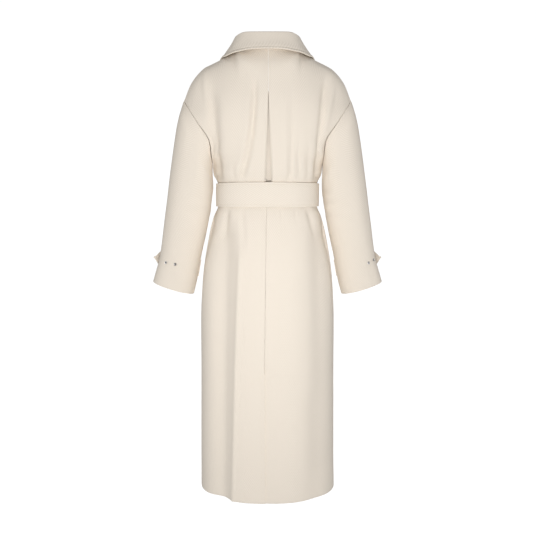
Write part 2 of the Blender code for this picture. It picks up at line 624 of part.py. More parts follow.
def belt(name, collection, rows=2):
    """The belt once round the waist, starting and ending at the centre front."""
    quarters = ((FRONT, LEFT, 0, 1), (BACK, LEFT, 1, 0), (BACK, RIGHT, 0, 1), (FRONT, RIGHT, 1, 0))

    def place(column, row):
        quarter, step = divmod(column % (4 * BACK_COLUMNS), BACK_COLUMNS)
        half, side, start, end = quarters[quarter]
        turn = start + (end - start) * spread(step / BACK_COLUMNS, BACK_COLUMNS)
        rise = BELT_EDGES[0] + (BELT_EDGES[1] - BELT_EDGES[0]) * row / rows
        x = side * row_point(half, BELT_BOTTOM, turn).x
        return waist_point(half, side, turn, rise, BELT_GAP + belt_lift(half, x))

    cloth_piece(name, collection, 4 * BACK_COLUMNS, rows, place, wall=DOUBLE_CLOTH, outside=True, tube=True)


def on_belt(turn, rise, out):
    """A point in front of the belt, moved out from the belt's face."""
    x = math.copysign(row_point(FRONT, BELT_BOTTOM, abs(turn)).x, turn)
    return waist_point(FRONT, LEFT, turn, rise, BELT_GAP + belt_lift(FRONT, x) + DOUBLE_CLOTH + out)


def belt_end(name, collection, rows=2):
    """The free end, from behind the buckle to its point."""
    def place(column, row):
        step = END_FROM + column
        turn = math.copysign(spread(abs(step) / BACK_COLUMNS, BACK_COLUMNS), step)
        narrow = END_TIP[max(0, step - END_TO + len(END_TIP) - 1)]
        middle, half = 0.5 * sum(BELT_EDGES), 0.5 * (BELT_EDGES[1] - BELT_EDGES[0])
        return on_belt(turn, middle + half * narrow * (2.0 * row / rows - 1.0), LAY_GAP)

    cloth_piece(name, collection, END_TO - END_FROM, rows, place, wall=DOUBLE_CLOTH, outside=True)


def belt_buckle(name, collection):
    """A plain covered frame over the belt and its end."""
    inner = BUCKLE_HALF_W - BUCKLE_SIDE
    columns = (-BUCKLE_HALF_W, -inner, -inner / 3, inner / 3, inner, BUCKLE_HALF_W)
    turns = [turn_at(FRONT, BELT_BOTTOM, x) for x in columns]
    rises = (BUCKLE_RISE[0], BUCKLE_WINDOW[0], 0.25, 0.75, BUCKLE_WINDOW[1], BUCKLE_RISE[1])
    margin = 0.5 - 1.0 / BUCKLE_CELLS

    def place(column, row):
        return on_belt(turns[column], rises[row], 2 * LAY_GAP + DOUBLE_CLOTH)

    def window(centre):
        return abs(centre.x) < margin and abs(centre.y) < margin

    cloth_piece(name, collection, BUCKLE_CELLS, BUCKLE_CELLS, place, wall=BUCKLE_WALL, outside=True,
                window=window)


def sleeve_ring(index, around):
    """A point of a sleeve's ring: around from the underarm by the back; ring 0 is the armhole."""
    if index == 0:
        half = BACK if around <= 0.5 else FRONT
        share = (around if around <= 0.5 else 1.0 - around) * 2.0 * (len(ARM_ROWS) - 1)
        step = min(len(ARM_ROWS) - 2, int(share))
        height = ARM_ROWS[step] + (ARM_ROWS[step + 1] - ARM_ROWS[step]) * (share - step)
        return bare_point(half, 1.0, height)
    ring = RINGS[index - 1]
    inner = Vector((ring.x_in, -ring.ahead, ring.z_in))
    outer = Vector((ring.x_out, -ring.ahead, ring.z_out))
    angle = 2.0 * math.pi * around
    point = (inner + outer) / 2 - (outer - inner) / 2 * math.cos(angle)
    point.y += ring.depth * math.sin(angle)
    return point


def sleeve_point(side, around, along, out=0.0):
    """A point of the sleeve's outer face, along from 0 at the armhole to CUFF."""
    index = min(CUFF - 1, int(along))
    rings = range(max(0, index - 1), min(CUFF, index + 2) + 1)
    point = curve_through([sleeve_ring(ring, around) for ring in rings], along - rings[0])
    middle = curve_through([(sleeve_ring(ring, 0.0) + sleeve_ring(ring, 0.5)) / 2 for ring in rings],
                           along - rings[0])
    depth = 0.0
    for fold in SLEEVE_FOLDS:
        if fold.side == side:
            turn = (around - fold.around + 0.5) % 1.0 - 0.5
            near = (turn / fold.wide_around) ** 2 + ((along - fold.along) / fold.wide_along) ** 2
            depth += fold.depth * math.exp(-near)
    point += (point - middle).normalized() * (out - depth * smooth(along))
    return Vector((side * point.x, point.y, point.z))


def sleeve(name, side, collection):
    def place(column, row):
        around, along = column % SLEEVE_COLUMNS / SLEEVE_COLUMNS, SLEEVE_ROWS[row]
        point = sleeve_point(side, around, along)
        if row == 0:
            onward = sleeve_point(side, around, SLEEVE_ROWS[1]) - point
            point += onward.normalized() * SLEEVE_STEP
        return point

    cloth_piece(name, collection, SLEEVE_COLUMNS, len(SLEEVE_ROWS) - 1, place, flip=side == RIGHT, tube=True)


def cuff_tab(name, side, collection):
    """The tab sewn to the front of the sleeve; its pointed end stands out past the sleeve's edge."""
    laid = TAB_FROM - TAB_LEAVES
    leaves = TAB_LEAVES / SLEEVE_COLUMNS
    middle = TAB_ROWS[1]
    onward = sleeve_point(side, leaves - TURN_STEP, middle) - sleeve_point(side, leaves + TURN_STEP, middle)

    def place(column, row):
        if column <= laid:
            return sleeve_point(side, (TAB_FROM - column) / SLEEVE_COLUMNS, TAB_ROWS[row], LAY_GAP)
        length = TAB_FREE * (column - laid) / TAB_FREE_COLUMNS
        narrow = max(TAB_BLUNT, 1.0 - max(0.0, length - TAB_FREE + TAB_POINT) / TAB_POINT)
        start = sleeve_point(side, leaves, middle + (TAB_ROWS[row] - middle) * narrow, LAY_GAP)
        return start + onward.normalized() * length

    cloth_piece(name, collection, laid + TAB_FREE_COLUMNS, len(TAB_ROWS) - 1, place, wall=DOUBLE_CLOTH,
                flip=side == LEFT, outside=True)


def eyelet(name, side, around, along, collection):
    """A small flattened metal ring set in the sleeve."""
    base = sleeve_point(side, around, along)
    face = (sleeve_point(side, around, along, EYELET_RING) - base).normalized()
    bpy.ops.mesh.primitive_torus_add(major_segments=12, minor_segments=6, major_radius=EYELET_RING,
                                     minor_radius=EYELET_WIRE)
    ring = bpy.context.object
    ring.name = name
    ring.data.name = name
    ring.scale.z = EYELET_FLAT
    ring.rotation_euler = face.to_track_quat("Z", "Y").to_euler()
    ring.location = base + face * (EYELET_GAP + EYELET_WIRE * EYELET_FLAT)
    ring.data.shade_smooth()
    ring.data.materials.append(make_material(name, SILVER, 0.3, 1.0))
    for holder in list(ring.users_collection):
        holder.objects.unlink(ring)
    collection.objects.link(ring)


def build():
    clear_scene()
    coat = bpy.data.collections.new("trench_coat")
    bpy.context.scene.collection.children.link(coat)
    pleat_underlay("pleat_underlay", coat)
    collar("collar", coat)
    belt("belt", coat)
    belt_end("belt_end", coat)
    belt_buckle("belt_buckle", coat)
    for side, hand in ((LEFT, "left"), (RIGHT, "right")):
        back_panel(f"back_{hand}", side, coat)
        front_panel(f"front_{hand}", side, coat)
        lapel(f"lapel_{hand}", side, coat)
        sleeve(f"sleeve_{hand}", side, coat)
        cuff_tab(f"cuff_tab_{hand}", side, coat)
        for number, (around, along) in enumerate(EYELETS[side], start=1):
            eyelet(f"eyelet_{hand}_{number}", side, around, along, coat)


build()
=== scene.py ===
"""A long belted trench coat in cream herringbone wool, filled out as it is when worn.

Each cloth piece starts as a flat grid with the cloth's own coordinates, is moved to its place on the
coat, and gets its wall and softened edges from modifiers. The front faces -Y, and the wearer's left
is +X. Metres throughout.
"""
import functools
import math
from collections import namedtuple

import bmesh
import bpy
from bpy.props import FloatProperty, FloatVectorProperty, IntProperty, PointerProperty
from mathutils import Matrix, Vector, noise


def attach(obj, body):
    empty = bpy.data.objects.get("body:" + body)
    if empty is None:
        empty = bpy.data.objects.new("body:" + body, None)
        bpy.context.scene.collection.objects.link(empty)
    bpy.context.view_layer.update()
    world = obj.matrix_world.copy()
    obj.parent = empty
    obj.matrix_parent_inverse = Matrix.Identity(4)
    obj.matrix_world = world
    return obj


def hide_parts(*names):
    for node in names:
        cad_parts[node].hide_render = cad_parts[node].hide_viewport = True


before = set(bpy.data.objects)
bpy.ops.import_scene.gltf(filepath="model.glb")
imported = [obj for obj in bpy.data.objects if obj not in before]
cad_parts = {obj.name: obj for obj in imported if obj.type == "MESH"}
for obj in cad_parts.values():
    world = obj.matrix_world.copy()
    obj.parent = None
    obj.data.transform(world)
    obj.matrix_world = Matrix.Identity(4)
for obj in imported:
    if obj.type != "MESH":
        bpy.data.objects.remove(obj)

bl_info = {
    "name": "Trench coat",
    "version": (1, 0, 0),
    "blender": (4, 5, 0),
    "location": "3D View > Sidebar > Coat",
    "description": "Builds a long belted wool trench coat piece by piece, and a plain studio for it",
    "category": "Object",
}

BACK, FRONT = 1, -1
LEFT, RIGHT = 1, -1
HANDS = ((LEFT, "left"), (RIGHT, "right"))

SEAM_GAP = 0.0004
LAY_GAP = 0.0005
SEAM_SHARE = 0.018        # share of a panel's width that dips beside a seam
SEAM_ROW = 0.2            # and part of its uppermost row that dips below the shoulder seam
FULLNESS = 0.60           # 0.55 gives an ellipse, more a squarer section
TURN_STEP, ROW_STEP = 0.01, 0.05  # steps along turns and rows over which slopes are measured
SAME_PLACE = 0.00003      # points nearer than this are one point
TURNED_ANGLE = 55         # degrees from which an edge is rounded
HEM_ROW, LEAST_ROW = 0.035, 0.012         # height indexes of the hem's extra row, and between two rows
EDGE_COLUMNS = (0.0, 0.006, 0.012, 0.018, 0.03)       # shares across a panel beside a sewn edge

# The coat's sections from the hem to just above the belt
Level = namedtuple("Level", "name z_side z_back z_front width back front")
LEVELS = (
    Level("hem", -1.250, -1.252, -1.250, 0.1905, 0.154, 0.150),
    Level("shin", -1.080, -1.080, -1.080, 0.1890, 0.151, 0.148),
    Level("knee", -0.890, -0.890, -0.890, 0.1870, 0.146, 0.145),
    Level("thigh", -0.710, -0.705, -0.715, 0.1845, 0.139, 0.141),
    Level("seat", -0.620, -0.612, -0.628, 0.1775, 0.132, 0.137),
    Level("hip", -0.545, -0.535, -0.555, 0.1655, 0.121, 0.130),
    Level("high hip", -0.497, -0.486, -0.508, 0.1555, 0.110, 0.121),
    Level("below belt", -0.468, -0.457, -0.479, 0.1465, 0.102, 0.113),
    Level("belt bottom", -0.451, -0.440, -0.462, 0.1375, 0.095, 0.106),
    Level("belt top", -0.378, -0.362, -0.394, 0.1375, 0.095, 0.106),
    Level("above belt", -0.362, -0.341, -0.377, 0.1465, 0.103, 0.113),
)
BELT_BOTTOM, BELT_TOP = 8, 9

# The armhole from the underarm to the end of the dropped shoulder
Spot = namedtuple("Spot", "x y z")
ARMHOLE = {
    BACK: (Spot(0.1500, 0.000, -0.335), Spot(0.1525, 0.036, -0.303), Spot(0.1580, 0.058, -0.258),
           Spot(0.1860, 0.060, -0.215), Spot(0.2115, 0.036, -0.178), Spot(0.2275, 0.000, -0.157)),
    FRONT: (Spot(0.1500, 0.000, -0.335), Spot(0.1510, -0.042, -0.303), Spot(0.1540, -0.068, -0.255),
            Spot(0.1820, -0.069, -0.208), Spot(0.2105, -0.040, -0.174), Spot(0.2275, 0.000, -0.157)),
}
# Back and chest rows above the underarm: place on the armhole, centre point, straight run and handle
Chest = namedtuple("Chest", "name arm y z reach pull_x pull_y pull_z")
CHEST = {
    BACK: (
        Chest("underarm", 0.0, 0.1095, -0.303, 0.085, 0.000, 0.061, 0.016),
        Chest("low blade", 1.0, 0.1140, -0.262, 0.090, -0.003, 0.046, 0.008),
        Chest("blade", 2.0, 0.1145, -0.212, 0.094, -0.024, 0.038, 0.010),
        Chest("high blade", 3.0, 0.1100, -0.155, 0.096, -0.046, 0.030, 0.024),
        Chest("nape", 4.0, 0.0980, -0.096, 0.090, -0.050, 0.026, 0.044),
    ),
    FRONT: (
        Chest("underarm", 0.0, -0.123, -0.343, 0.085, 0.000, -0.066, -0.006),
        Chest("bust", 1.0, -0.131, -0.300, 0.090, -0.003, -0.048, 0.000),
        Chest("chest", 2.0, -0.130, -0.246, 0.092, -0.022, -0.036, 0.004),
        Chest("high chest", 3.0, -0.122, -0.190, 0.092, -0.046, -0.024, 0.020),
        Chest("collar bone", 4.0, -0.112, -0.140, 0.084, -0.050, -0.020, 0.042),
    ),
}
SHOULDER = (Spot(0.0760, 0.0, -0.015), Spot(0.1000, 0.0, -0.0315), Spot(0.1280, 0.0, -0.0475),
            Spot(0.1780, 0.0, -0.0750), Spot(0.2055, 0.0, -0.107), Spot(0.2275, 0.0, -0.157))
NECK_CENTRE = {BACK: Spot(0.0, 0.073, -0.008), FRONT: Spot(0.0, -0.102, -0.094)}
NECK_SHARE = 0.34
TOP_STEP = {
    BACK: (Spot(0.0, 0.014, -0.034), Spot(0.007, 0.034, -0.010), Spot(-0.006, 0.0185, -0.008)),
    FRONT: (Spot(0.0, -0.006, -0.022), Spot(0.005, -0.034, -0.012), Spot(-0.0065, -0.0205, -0.0065)),
}
TOP_ARM, TOP_JOIN = 4.5, 0.80
UNDERARM = len(LEVELS)
TOP = UNDERARM + len(CHEST[BACK]) + 1
CENTRE_LINE = ((-1.26, 0.006), (-0.88, 0.008), (-0.45, 0.003), (-0.36, -0.003), (0.0, -0.002))

# Folds: a hollow (depth above 0) or a ridge (below 0) along a line from its top to its low end. The
# long ones set the form, and the short ones are the gathers that the belt makes
Fold = namedtuple("Fold", "name half x_top z_top x_low z_low wide_top wide_low depth depth_low bend",
                  defaults=(1.0,))
FOLDS = (
    Fold("long hollow", BACK, 0.122, -0.480, 0.135, -1.400, 0.036, 0.031, 0.0220, 0.0210),
    Fold("ridge beside it", BACK, 0.072, -0.560, 0.100, -1.400, 0.0085, 0.0075, -0.0060, -0.0050),
    Fold("right skirt", BACK, -0.146, -0.490, -0.158, -1.200, 0.030, 0.030, 0.0130, 0.0060),
    Fold("right swell", BACK, -0.060, -0.600, -0.075, -1.400, 0.030, 0.034, -0.0035, -0.0012),
    Fold("right soft dip", BACK, -0.132, -0.950, -0.138, -1.400, 0.024, 0.026, 0.0030, 0.0050),
    Fold("blade to waist", BACK, 0.035, -0.100, 0.081, -0.385, 0.0078, 0.0085, 0.0085, 0.0095, 2.2),
    Fold("its ridge", BACK, 0.052, -0.150, 0.102, -0.400, 0.010, 0.010, -0.0030, -0.0030, 2.0),
    Fold("left armhole", BACK, 0.150, -0.140, 0.130, -0.400, 0.0190, 0.0110, 0.0150, 0.0120, 1.5),
    Fold("armhole ridge", BACK, 0.166, -0.085, 0.162, -0.220, 0.0080, 0.0080, -0.0060, -0.0030),
    Fold("right of pleat", BACK, -0.063, -0.150, -0.061, -0.400, 0.0070, 0.0070, 0.0024, 0.0050),
    Fold("ridge of it", BACK, -0.042, -0.130, -0.044, -0.400, 0.009, 0.008, -0.0024, -0.0034),
    Fold("right waist", BACK, -0.080, -0.250, -0.084, -0.400, 0.0070, 0.0070, 0.0026, 0.0058),
    Fold("right waist too", BACK, -0.108, -0.270, -0.110, -0.400, 0.0070, 0.0070, 0.0024, 0.0048),
    Fold("right armhole", BACK, -0.157, -0.100, -0.132, -0.400, 0.0080, 0.0090, 0.0080, 0.0105, 0.6),
    Fold("right arm ridge", BACK, -0.176, -0.120, -0.150, -0.240, 0.0070, 0.0070, -0.0045, -0.0030),
    Fold("left hip", BACK, 0.102, -0.425, 0.134, -0.520, 0.0075, 0.0120, 0.0085, 0.0065),
    Fold("right hip", BACK, -0.104, -0.425, -0.134, -0.510, 0.0075, 0.0110, 0.0085, 0.0060),
    Fold("notch over the belt", BACK, 0.092, -0.330, 0.090, -0.372, 0.0040, 0.0055, 0.0020, 0.0062),
    Fold("right notch over it", BACK, -0.056, -0.335, -0.057, -0.372, 0.0040, 0.0050, 0.0014, 0.0040),
    Fold("notch under the belt", BACK, 0.067, -0.432, 0.061, -0.540, 0.0055, 0.0090, 0.0045, 0.0028),
    Fold("middle notch under it", BACK, 0.006, -0.432, 0.007, -0.485, 0.0050, 0.0080, 0.0045, 0.0014),
    Fold("right notch under it", BACK, -0.038, -0.432, -0.040, -0.500, 0.0050, 0.0080, 0.0038, 0.0012),
    Fold("far notch under it", BACK, -0.075, -0.432, -0.079, -0.490, 0.0050, 0.0080, 0.0030, 0.0010),
    Fold("front left skirt", FRONT, 0.118, -0.490, 0.132, -1.400, 0.026, 0.024, 0.0150, 0.0090),
    Fold("front right skirt", FRONT, -0.124, -0.480, -0.136, -1.400, 0.024, 0.026, 0.0140, 0.0080),
    Fold("front ridge", FRONT, 0.082, -0.580, 0.104, -1.400, 0.010, 0.010, -0.0055, -0.0035),
    Fold("left bust", FRONT, 0.104, -0.190, 0.090, -0.420, 0.010, 0.009, 0.0065, 0.0085),
    Fold("right bust", FRONT, -0.104, -0.180, -0.092, -0.420, 0.010, 0.009, 0.0065, 0.0085),
    Fold("left front armhole", FRONT, 0.140, -0.200, 0.124, -0.420, 0.0085, 0.0085, 0.0070, 0.0090),
    Fold("right front armhole", FRONT, -0.140, -0.210, -0.126, -0.420, 0.0085, 0.0085, 0.0070, 0.0090),
    Fold("front left hip", FRONT, 0.104, -0.445, 0.130, -0.560, 0.0085, 0.0130, 0.0085, 0.0060),
    Fold("front right hip", FRONT, -0.108, -0.445, -0.132, -0.560, 0.0085, 0.0130, 0.0085, 0.0060),
    Fold("front notch over the belt", FRONT, 0.060, -0.340, 0.062, -0.405, 0.0055, 0.0065, 0.0010, 0.0050),
    Fold("right front notch over it", FRONT, -0.064, -0.345, -0.062, -0.405, 0.0055, 0.0065, 0.0010, 0.0050),
    Fold("front notch under the belt", FRONT, 0.058, -0.455, 0.066, -0.520, 0.0060, 0.0090, 0.0045, 0.0016),
    Fold("right front notch under it", FRONT, -0.070, -0.455, -0.078, -0.525, 0.0060, 0.0090, 0.0045, 0.0016),
)
FOLD_FADE, SHORT_FADE = 0.045, 0.020      # a fold fades out over this length past each end
FOLD_REACH = 3.0          # and ends this many widths from its line
BELT_CALM = 0.010
EDGE_CALM = 0.962
# Small waves of the cloth: how many to a metre round and up, offset, and share of the unevenness
Wave = namedtuple("Wave", "round up offset share")
WAVES = (Wave(11.0, 5.0, 0.0, 0.7), Wave(30.0, 15.0, 7.0, 0.3))
SLEEVE_WAVE = Wave(14.0, 9.0, 0.0, 1.0)

PLEAT_TOP, PLEAT_OPEN, PLEAT_FADE = -0.117, 0.0066, 0.20
PLEAT_TURN, PLEAT_TUCK = 0.022, 0.0055    # its edges: share of the half back turned in, and how far
STRIP_ROWS, STRIP_LOW, STRIP_HIGH = 40, 8.0, 14.5
STRIP_COLUMNS, STRIP_TURN = 12, 0.147     # the strip reaches this many columns, and this turn, each way
STRIP_SINK, SINK_FROM, SINK_RUN = 0.0105, 8.1, 0.8
VENT_LAP = 0.040
VENT_FULL, VENT_TOP, VENT_EASE, VENT_STEP, STEP_SHARE = 1.92, 2.03, 2.2, 0.030, 0.9
VENT_STITCH = (0.034, 0.020)      # the slanted row of stitches at its top: across and down

FRONT_EDGE = ((-1.26, 0.082), (-0.60, 0.080), (-0.46, 0.062), (-0.39, 0.036), (-0.30, 0.003),
              (-0.20, -0.034), (-0.12, -0.058), (-0.06, -0.069), (0.02, -0.078))
OVERLAP, OVERLAP_RAMP, OVERLAP_TOP = 0.0042, 0.034, (-0.300, -0.220)
FRONT_STITCH, LAPEL_STITCH = 1.1, 1.2     # columns between an edge and its stitching
Lapel = namedtuple("Lapel", "z width rise")
LAPELS = (Lapel(-0.366, 0.006, 0.000), Lapel(-0.300, 0.042, 0.010), Lapel(-0.220, 0.072, 0.022),
          Lapel(-0.150, 0.092, 0.028), Lapel(-0.076, 0.072, -0.018))
LAPEL_LOW = {RIGHT: -0.366, LEFT: -0.314}
LAPEL_LIFT = (0.0022, 0.0030)
LAPEL_ROLL, ROLL_RATE, ROLL_END = 0.0035, 2.2, 0.45   # its rolled edge: height, and where it ends
LAPEL_COLUMNS, LAPEL_ROWS = 14, 34

Collar = namedtuple("Collar", "seam roll edge")
COLLAR = (
    Collar(Spot(0.0000, 0.0735, -0.0073), Spot(0.000, 0.0745, 0.0220), Spot(0.000, 0.1080, -0.0165)),
    Collar(Spot(0.0275, 0.0686, -0.0077), Spot(0.032, 0.0700, 0.0220), Spot(0.046, 0.1020, -0.0185)),
    Collar(Spot(0.0540, 0.0520, -0.0090), Spot(0.059, 0.0540, 0.0208), Spot(0.086, 0.0770, -0.0260)),
    Collar(Spot(0.0700, 0.0300, -0.0108), Spot(0.076, 0.0300, 0.0120), Spot(0.113, 0.0400, -0.0370)),
    Collar(Spot(0.0760, 0.0000, -0.0132), Spot(0.080, -0.0030, 0.0040), Spot(0.1245, -0.0060, -0.0410)),
    Collar(Spot(0.0740, -0.0240, -0.0270), Spot(0.079, -0.0270, -0.0130), Spot(0.130, -0.0320, -0.0530)),
    Collar(Spot(0.0675, -0.0470, -0.0470), Spot(0.075, -0.0510, -0.0370), Spot(0.124, -0.0565, -0.0700)),
)
ROLL_OPEN, ROLL_RADIUS, FALL_BOW = 0.35, 0.0045, -0.0012
COLLAR_STATIONS, STAND, ROLL, FALL = 90, 6, 12, 22    # columns, and rows in each of its parts
COLLAR_STITCH = 0.86      # share of the fall at which the edge stitching runs
# Its edge: height, place and width of the ridge outside the stitching, and of the stitches' groove
EDGE_RIDGES = ((0.0006, 0.955, 0.05), (-0.0007, COLLAR_STITCH, 0.035))
FALL_WAVE, WAVE_RISE = (0.11, 1.5, 3.0), 0.0016       # waves a column, waves down the fall, offset; height

BELT_EDGES, BELT_GAP, BELT_CLEAR = (0.07, 0.93), 0.0012, (0.078, 0.115)
BELT_ROWS, QUARTER = 12, 46       # rows, and columns in a quarter of the belt's round
BELT_SWAY, FRONT_SWAY = 0.012, 0.3        # how far it wanders up and down, and the front's share of that
BELT_SWELL, BELT_SINK = 0.0008, -0.0004   # how far its face wanders out, and in at most
SWAY_WAVE, SWELL_WAVE = (9.0, 2.0, 1.0), (22.0, 3.0, 1.6)
STITCH_DIP, DIP_WIDTH, OUTSIDE_STITCH = 0.0006, 0.35, 0.6
END_FROM, END_TO, END_POINT = -0.19, 0.665, 0.13      # turns of the free end, and of its point's length
END_COLUMNS, END_BLUNT = 64, 0.03
BUCKLE_HALF_W, BUCKLE_SIDE, BUCKLE_CELLS = 0.030, 0.009, 8
BUCKLE_RISE, BUCKLE_WINDOW = (-0.20, 1.20), (-0.07, 1.07)
BUCKLE_ROUNDING = 0.0014

Ring = namedtuple("Ring", "name x_in z_in x_out z_out depth ahead")
RINGS = (
    Ring("cap", 0.1505, -0.352, 0.2370, -0.187, 0.0655, 0.001),
    Ring("upper arm", 0.1495, -0.372, 0.2455, -0.220, 0.0675, 0.003),
    Ring("arm", 0.1485, -0.394, 0.2530, -0.260, 0.0670, 0.006),
    Ring("above elbow", 0.1495, -0.420, 0.2600, -0.302, 0.0650, 0.010),
    Ring("elbow", 0.1540, -0.450, 0.2695, -0.367, 0.0620, 0.014),
    Ring("below elbow", 0.1630, -0.488, 0.2790, -0.434, 0.0590, 0.018),
    Ring("forearm", 0.1725, -0.532, 0.2885, -0.500, 0.0560, 0.023),
    Ring("above tab", 0.1835, -0.580, 0.2975, -0.566, 0.0530, 0.028),
    Ring("tab", 0.1920, -0.624, 0.3035, -0.600, 0.0500, 0.031),
    Ring("below tab", 0.1985, -0.660, 0.3115, -0.626, 0.0500, 0.034),
    Ring("cuff", 0.2080, -0.697, 0.3225, -0.6625, 0.0500, 0.038),
)
CUFF = len(RINGS)
RING_FULLNESS = 0.85      # below 1 the rings are a little squarer than ellipses
# Sleeve folds: place round and along the sleeve, reach each way, slant and depth
SleeveFold = namedtuple("SleeveFold", "side around along wide_around wide_along slant depth")
SLEEVE_FOLDS = (
    SleeveFold(LEFT, 0.10, 3.0, 0.10, 0.9, 0.00, 0.0030),
    SleeveFold(LEFT, 0.92, 4.4, 0.10, 0.7, 0.00, 0.0070),
    SleeveFold(LEFT, 0.14, 4.6, 0.13, 0.34, 0.9, 0.0024),
    SleeveFold(LEFT, 0.16, 5.5, 0.14, 0.28, 0.7, 0.0022),
    SleeveFold(LEFT, 0.78, 5.6, 0.16, 0.5, 0.00, 0.0045),
    SleeveFold(LEFT, 0.30, 9.6, 0.05, 0.8, -0.9, 0.0016),
    SleeveFold(LEFT, 0.28, 2.2, 0.05, 1.6, 0.00, 0.0022),
    SleeveFold(LEFT, 0.40, 6.5, 0.05, 2.2, 0.00, 0.0014),
    SleeveFold(RIGHT, 0.08, 3.4, 0.10, 0.9, 0.00, 0.0060),
    SleeveFold(RIGHT, 0.90, 4.9, 0.11, 0.7, 0.00, 0.0065),
    SleeveFold(RIGHT, 0.13, 5.0, 0.13, 0.32, 0.9, 0.0034),
    SleeveFold(RIGHT, 0.15, 5.9, 0.14, 0.30, 0.6, 0.0028),
    SleeveFold(RIGHT, 0.76, 6.2, 0.16, 0.5, 0.00, 0.0045),
    SleeveFold(RIGHT, 0.36, 10.0, 0.03, 0.9, 0.00, 0.0016),
    SleeveFold(RIGHT, 0.27, 2.0, 0.05, 1.8, 0.00, 0.0020),
    SleeveFold(RIGHT, 0.41, 6.0, 0.05, 2.4, 0.00, 0.0014),
)
SLANT_RUN = 6.0           # how far along a slanted fold runs in one turn of the sleeve
ARMHOLE_ROWS = (0.0, 0.03, 0.07, 0.12)    # a sleeve's rows at the armhole, its even ones, and at the cuff
SLEEVE_START, SLEEVE_SPAN, SLEEVE_ROWS = 0.2, CUFF - 0.28, 66
CUFF_ROWS = (CUFF - 0.04, float(CUFF))
TAB_ROWS, TAB_FROM, TAB_LEAVES = (8.55, 9.75), 25 / 26, 18 / 26
TAB_FREE, TAB_POINT, TAB_BLUNT = 0.057, 0.017, 0.04
TAB_LAID, TAB_LOOSE, TAB_ACROSS = 24, 22, 12          # columns on the sleeve and past it, and rows
TAB_STITCH, TAB_GROOVE, GROOVE_WIDTH = 0.14, 0.0005, 0.10
EYELETS = {LEFT: ((0.356, 8.92), (0.275, 8.86)), RIGHT: ((0.415, 8.86), (0.350, 8.94))}
EYELET_RING, EYELET_WIRE, EYELET_FLAT, EYELET_GAP = 0.0031, 0.0012, 0.6, 0.0009
# A dark disc of painted shade inside each eyelet: its radius as a share of the ring and its thickness; and
# the step out from the sleeve that finds its face
SHADE_DISC_SHARE, SHADE_DISC_DEPTH, FACE_STEP = 0.9, 0.0006, 0.01
# A stitch: share of its length and height in thread radii; its path is sampled this finely
STITCH_FORM = ((0.0, -1.0), (0.22, 0.7), (0.78, 0.7), (1.0, -1.0))
PATH_STEPS, PATH_SPAN = 3, 0.6

# The wool's look: its noises, how much ribs and flecks show, its relief and its nap
FLECK, CLOUD = {"Scale": 700.0, "Detail": 3.0}, {"Scale": 60.0, "Detail": 4.0}
RIB_SHARE, FLECK_SHARE, RIB_WANDER = 0.55, 0.65, 0.5
RIB_RELIEF = {"Strength": 0.35, "Distance": 0.0008}
WOOL_FINISH = {"Roughness": 0.92, "Specular IOR Level": 0.15, "Sheen Weight": 0.22, "Sheen Roughness": 0.5,
               "Sheen Tint": (1.0, 0.96, 0.90, 1.0)}
THREAD_ROUGH, SILVER_ROUGH, MATT = 0.7, 0.22, 0.9

# The camera that took the photograph: distance behind the coat, height, tilt down, and focal length
CAMERA_PLACE, CAMERA_TILT, CAMERA_LENS, CAMERA_FILM = (-0.0014, 3.2, -0.02), 10.6, 78.45, 36.0
FLOOR_Z, FLOOR_SIZE = -1.30, 60.0
FLOOR_GREY = (0.1, 0.1, 0.1)      # what the floor reflects, beside the light it gives
# How bright the white surroundings are: as light on the coat, and as they are seen
AMBIENT, SEEN_WHITE = 0.35, 1.12
Lamp = namedtuple("Lamp", "name x y z wide tall power aim", defaults=(-0.5,))
LAMPS = (
    Lamp("key", 0.0, 1.65, -0.56, 0.6, 0.5, 18.0),
    Lamp("front", 0.0, -1.65, -0.56, 0.6, 0.5, 18.0),
    Lamp("top", 0.0, 0.7, 1.7, 0.8, 0.8, 6.0),
    Lamp("left side", 3.0, 0.0, -0.50, 1.2, 1.2, 12.0),
    Lamp("right side", -3.0, 0.0, -0.50, 1.2, 1.2, 12.0),
)


def size_property(name, description, default):
    return FloatProperty(name=name, description=description, default=default, unit="LENGTH")


def count_property(name, description, default):
    return IntProperty(name=name, description=description, default=default)


def colour_property(name, description, default):
    return FloatVectorProperty(name=name, description=description, default=default, subtype="COLOR",
                               size=3, min=0, max=1)


class CoatSizes(bpy.types.PropertyGroup):
    """Sizes that drive the pieces."""
    cloth: size_property("Cloth", "Wall of one layer of cloth", 0.0022)
    double_cloth: size_property("Double cloth", "Wall of the belt and tabs", 0.0032)
    collar_cloth: size_property("Collar cloth", "Wall of the collar", 0.0034)
    buckle_wall: size_property("Buckle wall", "Thickness of the covered buckle", 0.0040)
    edge_radius: size_property("Edge radius", "Rounding of turned edges", 0.0008)
    seam_dip: size_property("Seam dip", "How far seams are drawn in", 0.0013)
    row_pitch: size_property("Row pitch", "Height between two rows of a panel", 0.011)
    back_columns: count_property("Back columns", "Columns in half the back", 58)
    front_columns: count_property("Front columns", "Columns in a front", 44)
    sleeve_columns: count_property("Sleeve columns", "Columns round a sleeve", 84)
    stitch: size_property("Stitch", "Length of one stitch", 0.0034)
    stitch_gap: size_property("Stitch gap", "Gap between stitches", 0.0012)
    thread: size_property("Thread", "Radius of the thread", 0.00032)
    edge_stitch: size_property("Edge stitch", "Distance of edge stitching from an edge", 0.0065)
    rib: size_property("Rib", "Height of one rib of the weave along the cloth", 0.0086)
    stripe: size_property("Stripe", "Width of one stripe of the herringbone", 0.034)
    rib_slope: FloatProperty(name="Rib slope", description="Rise of a rib over its run", default=1.6)
    unevenness: size_property("Unevenness", "Small waves of the cloth", 0.0009)


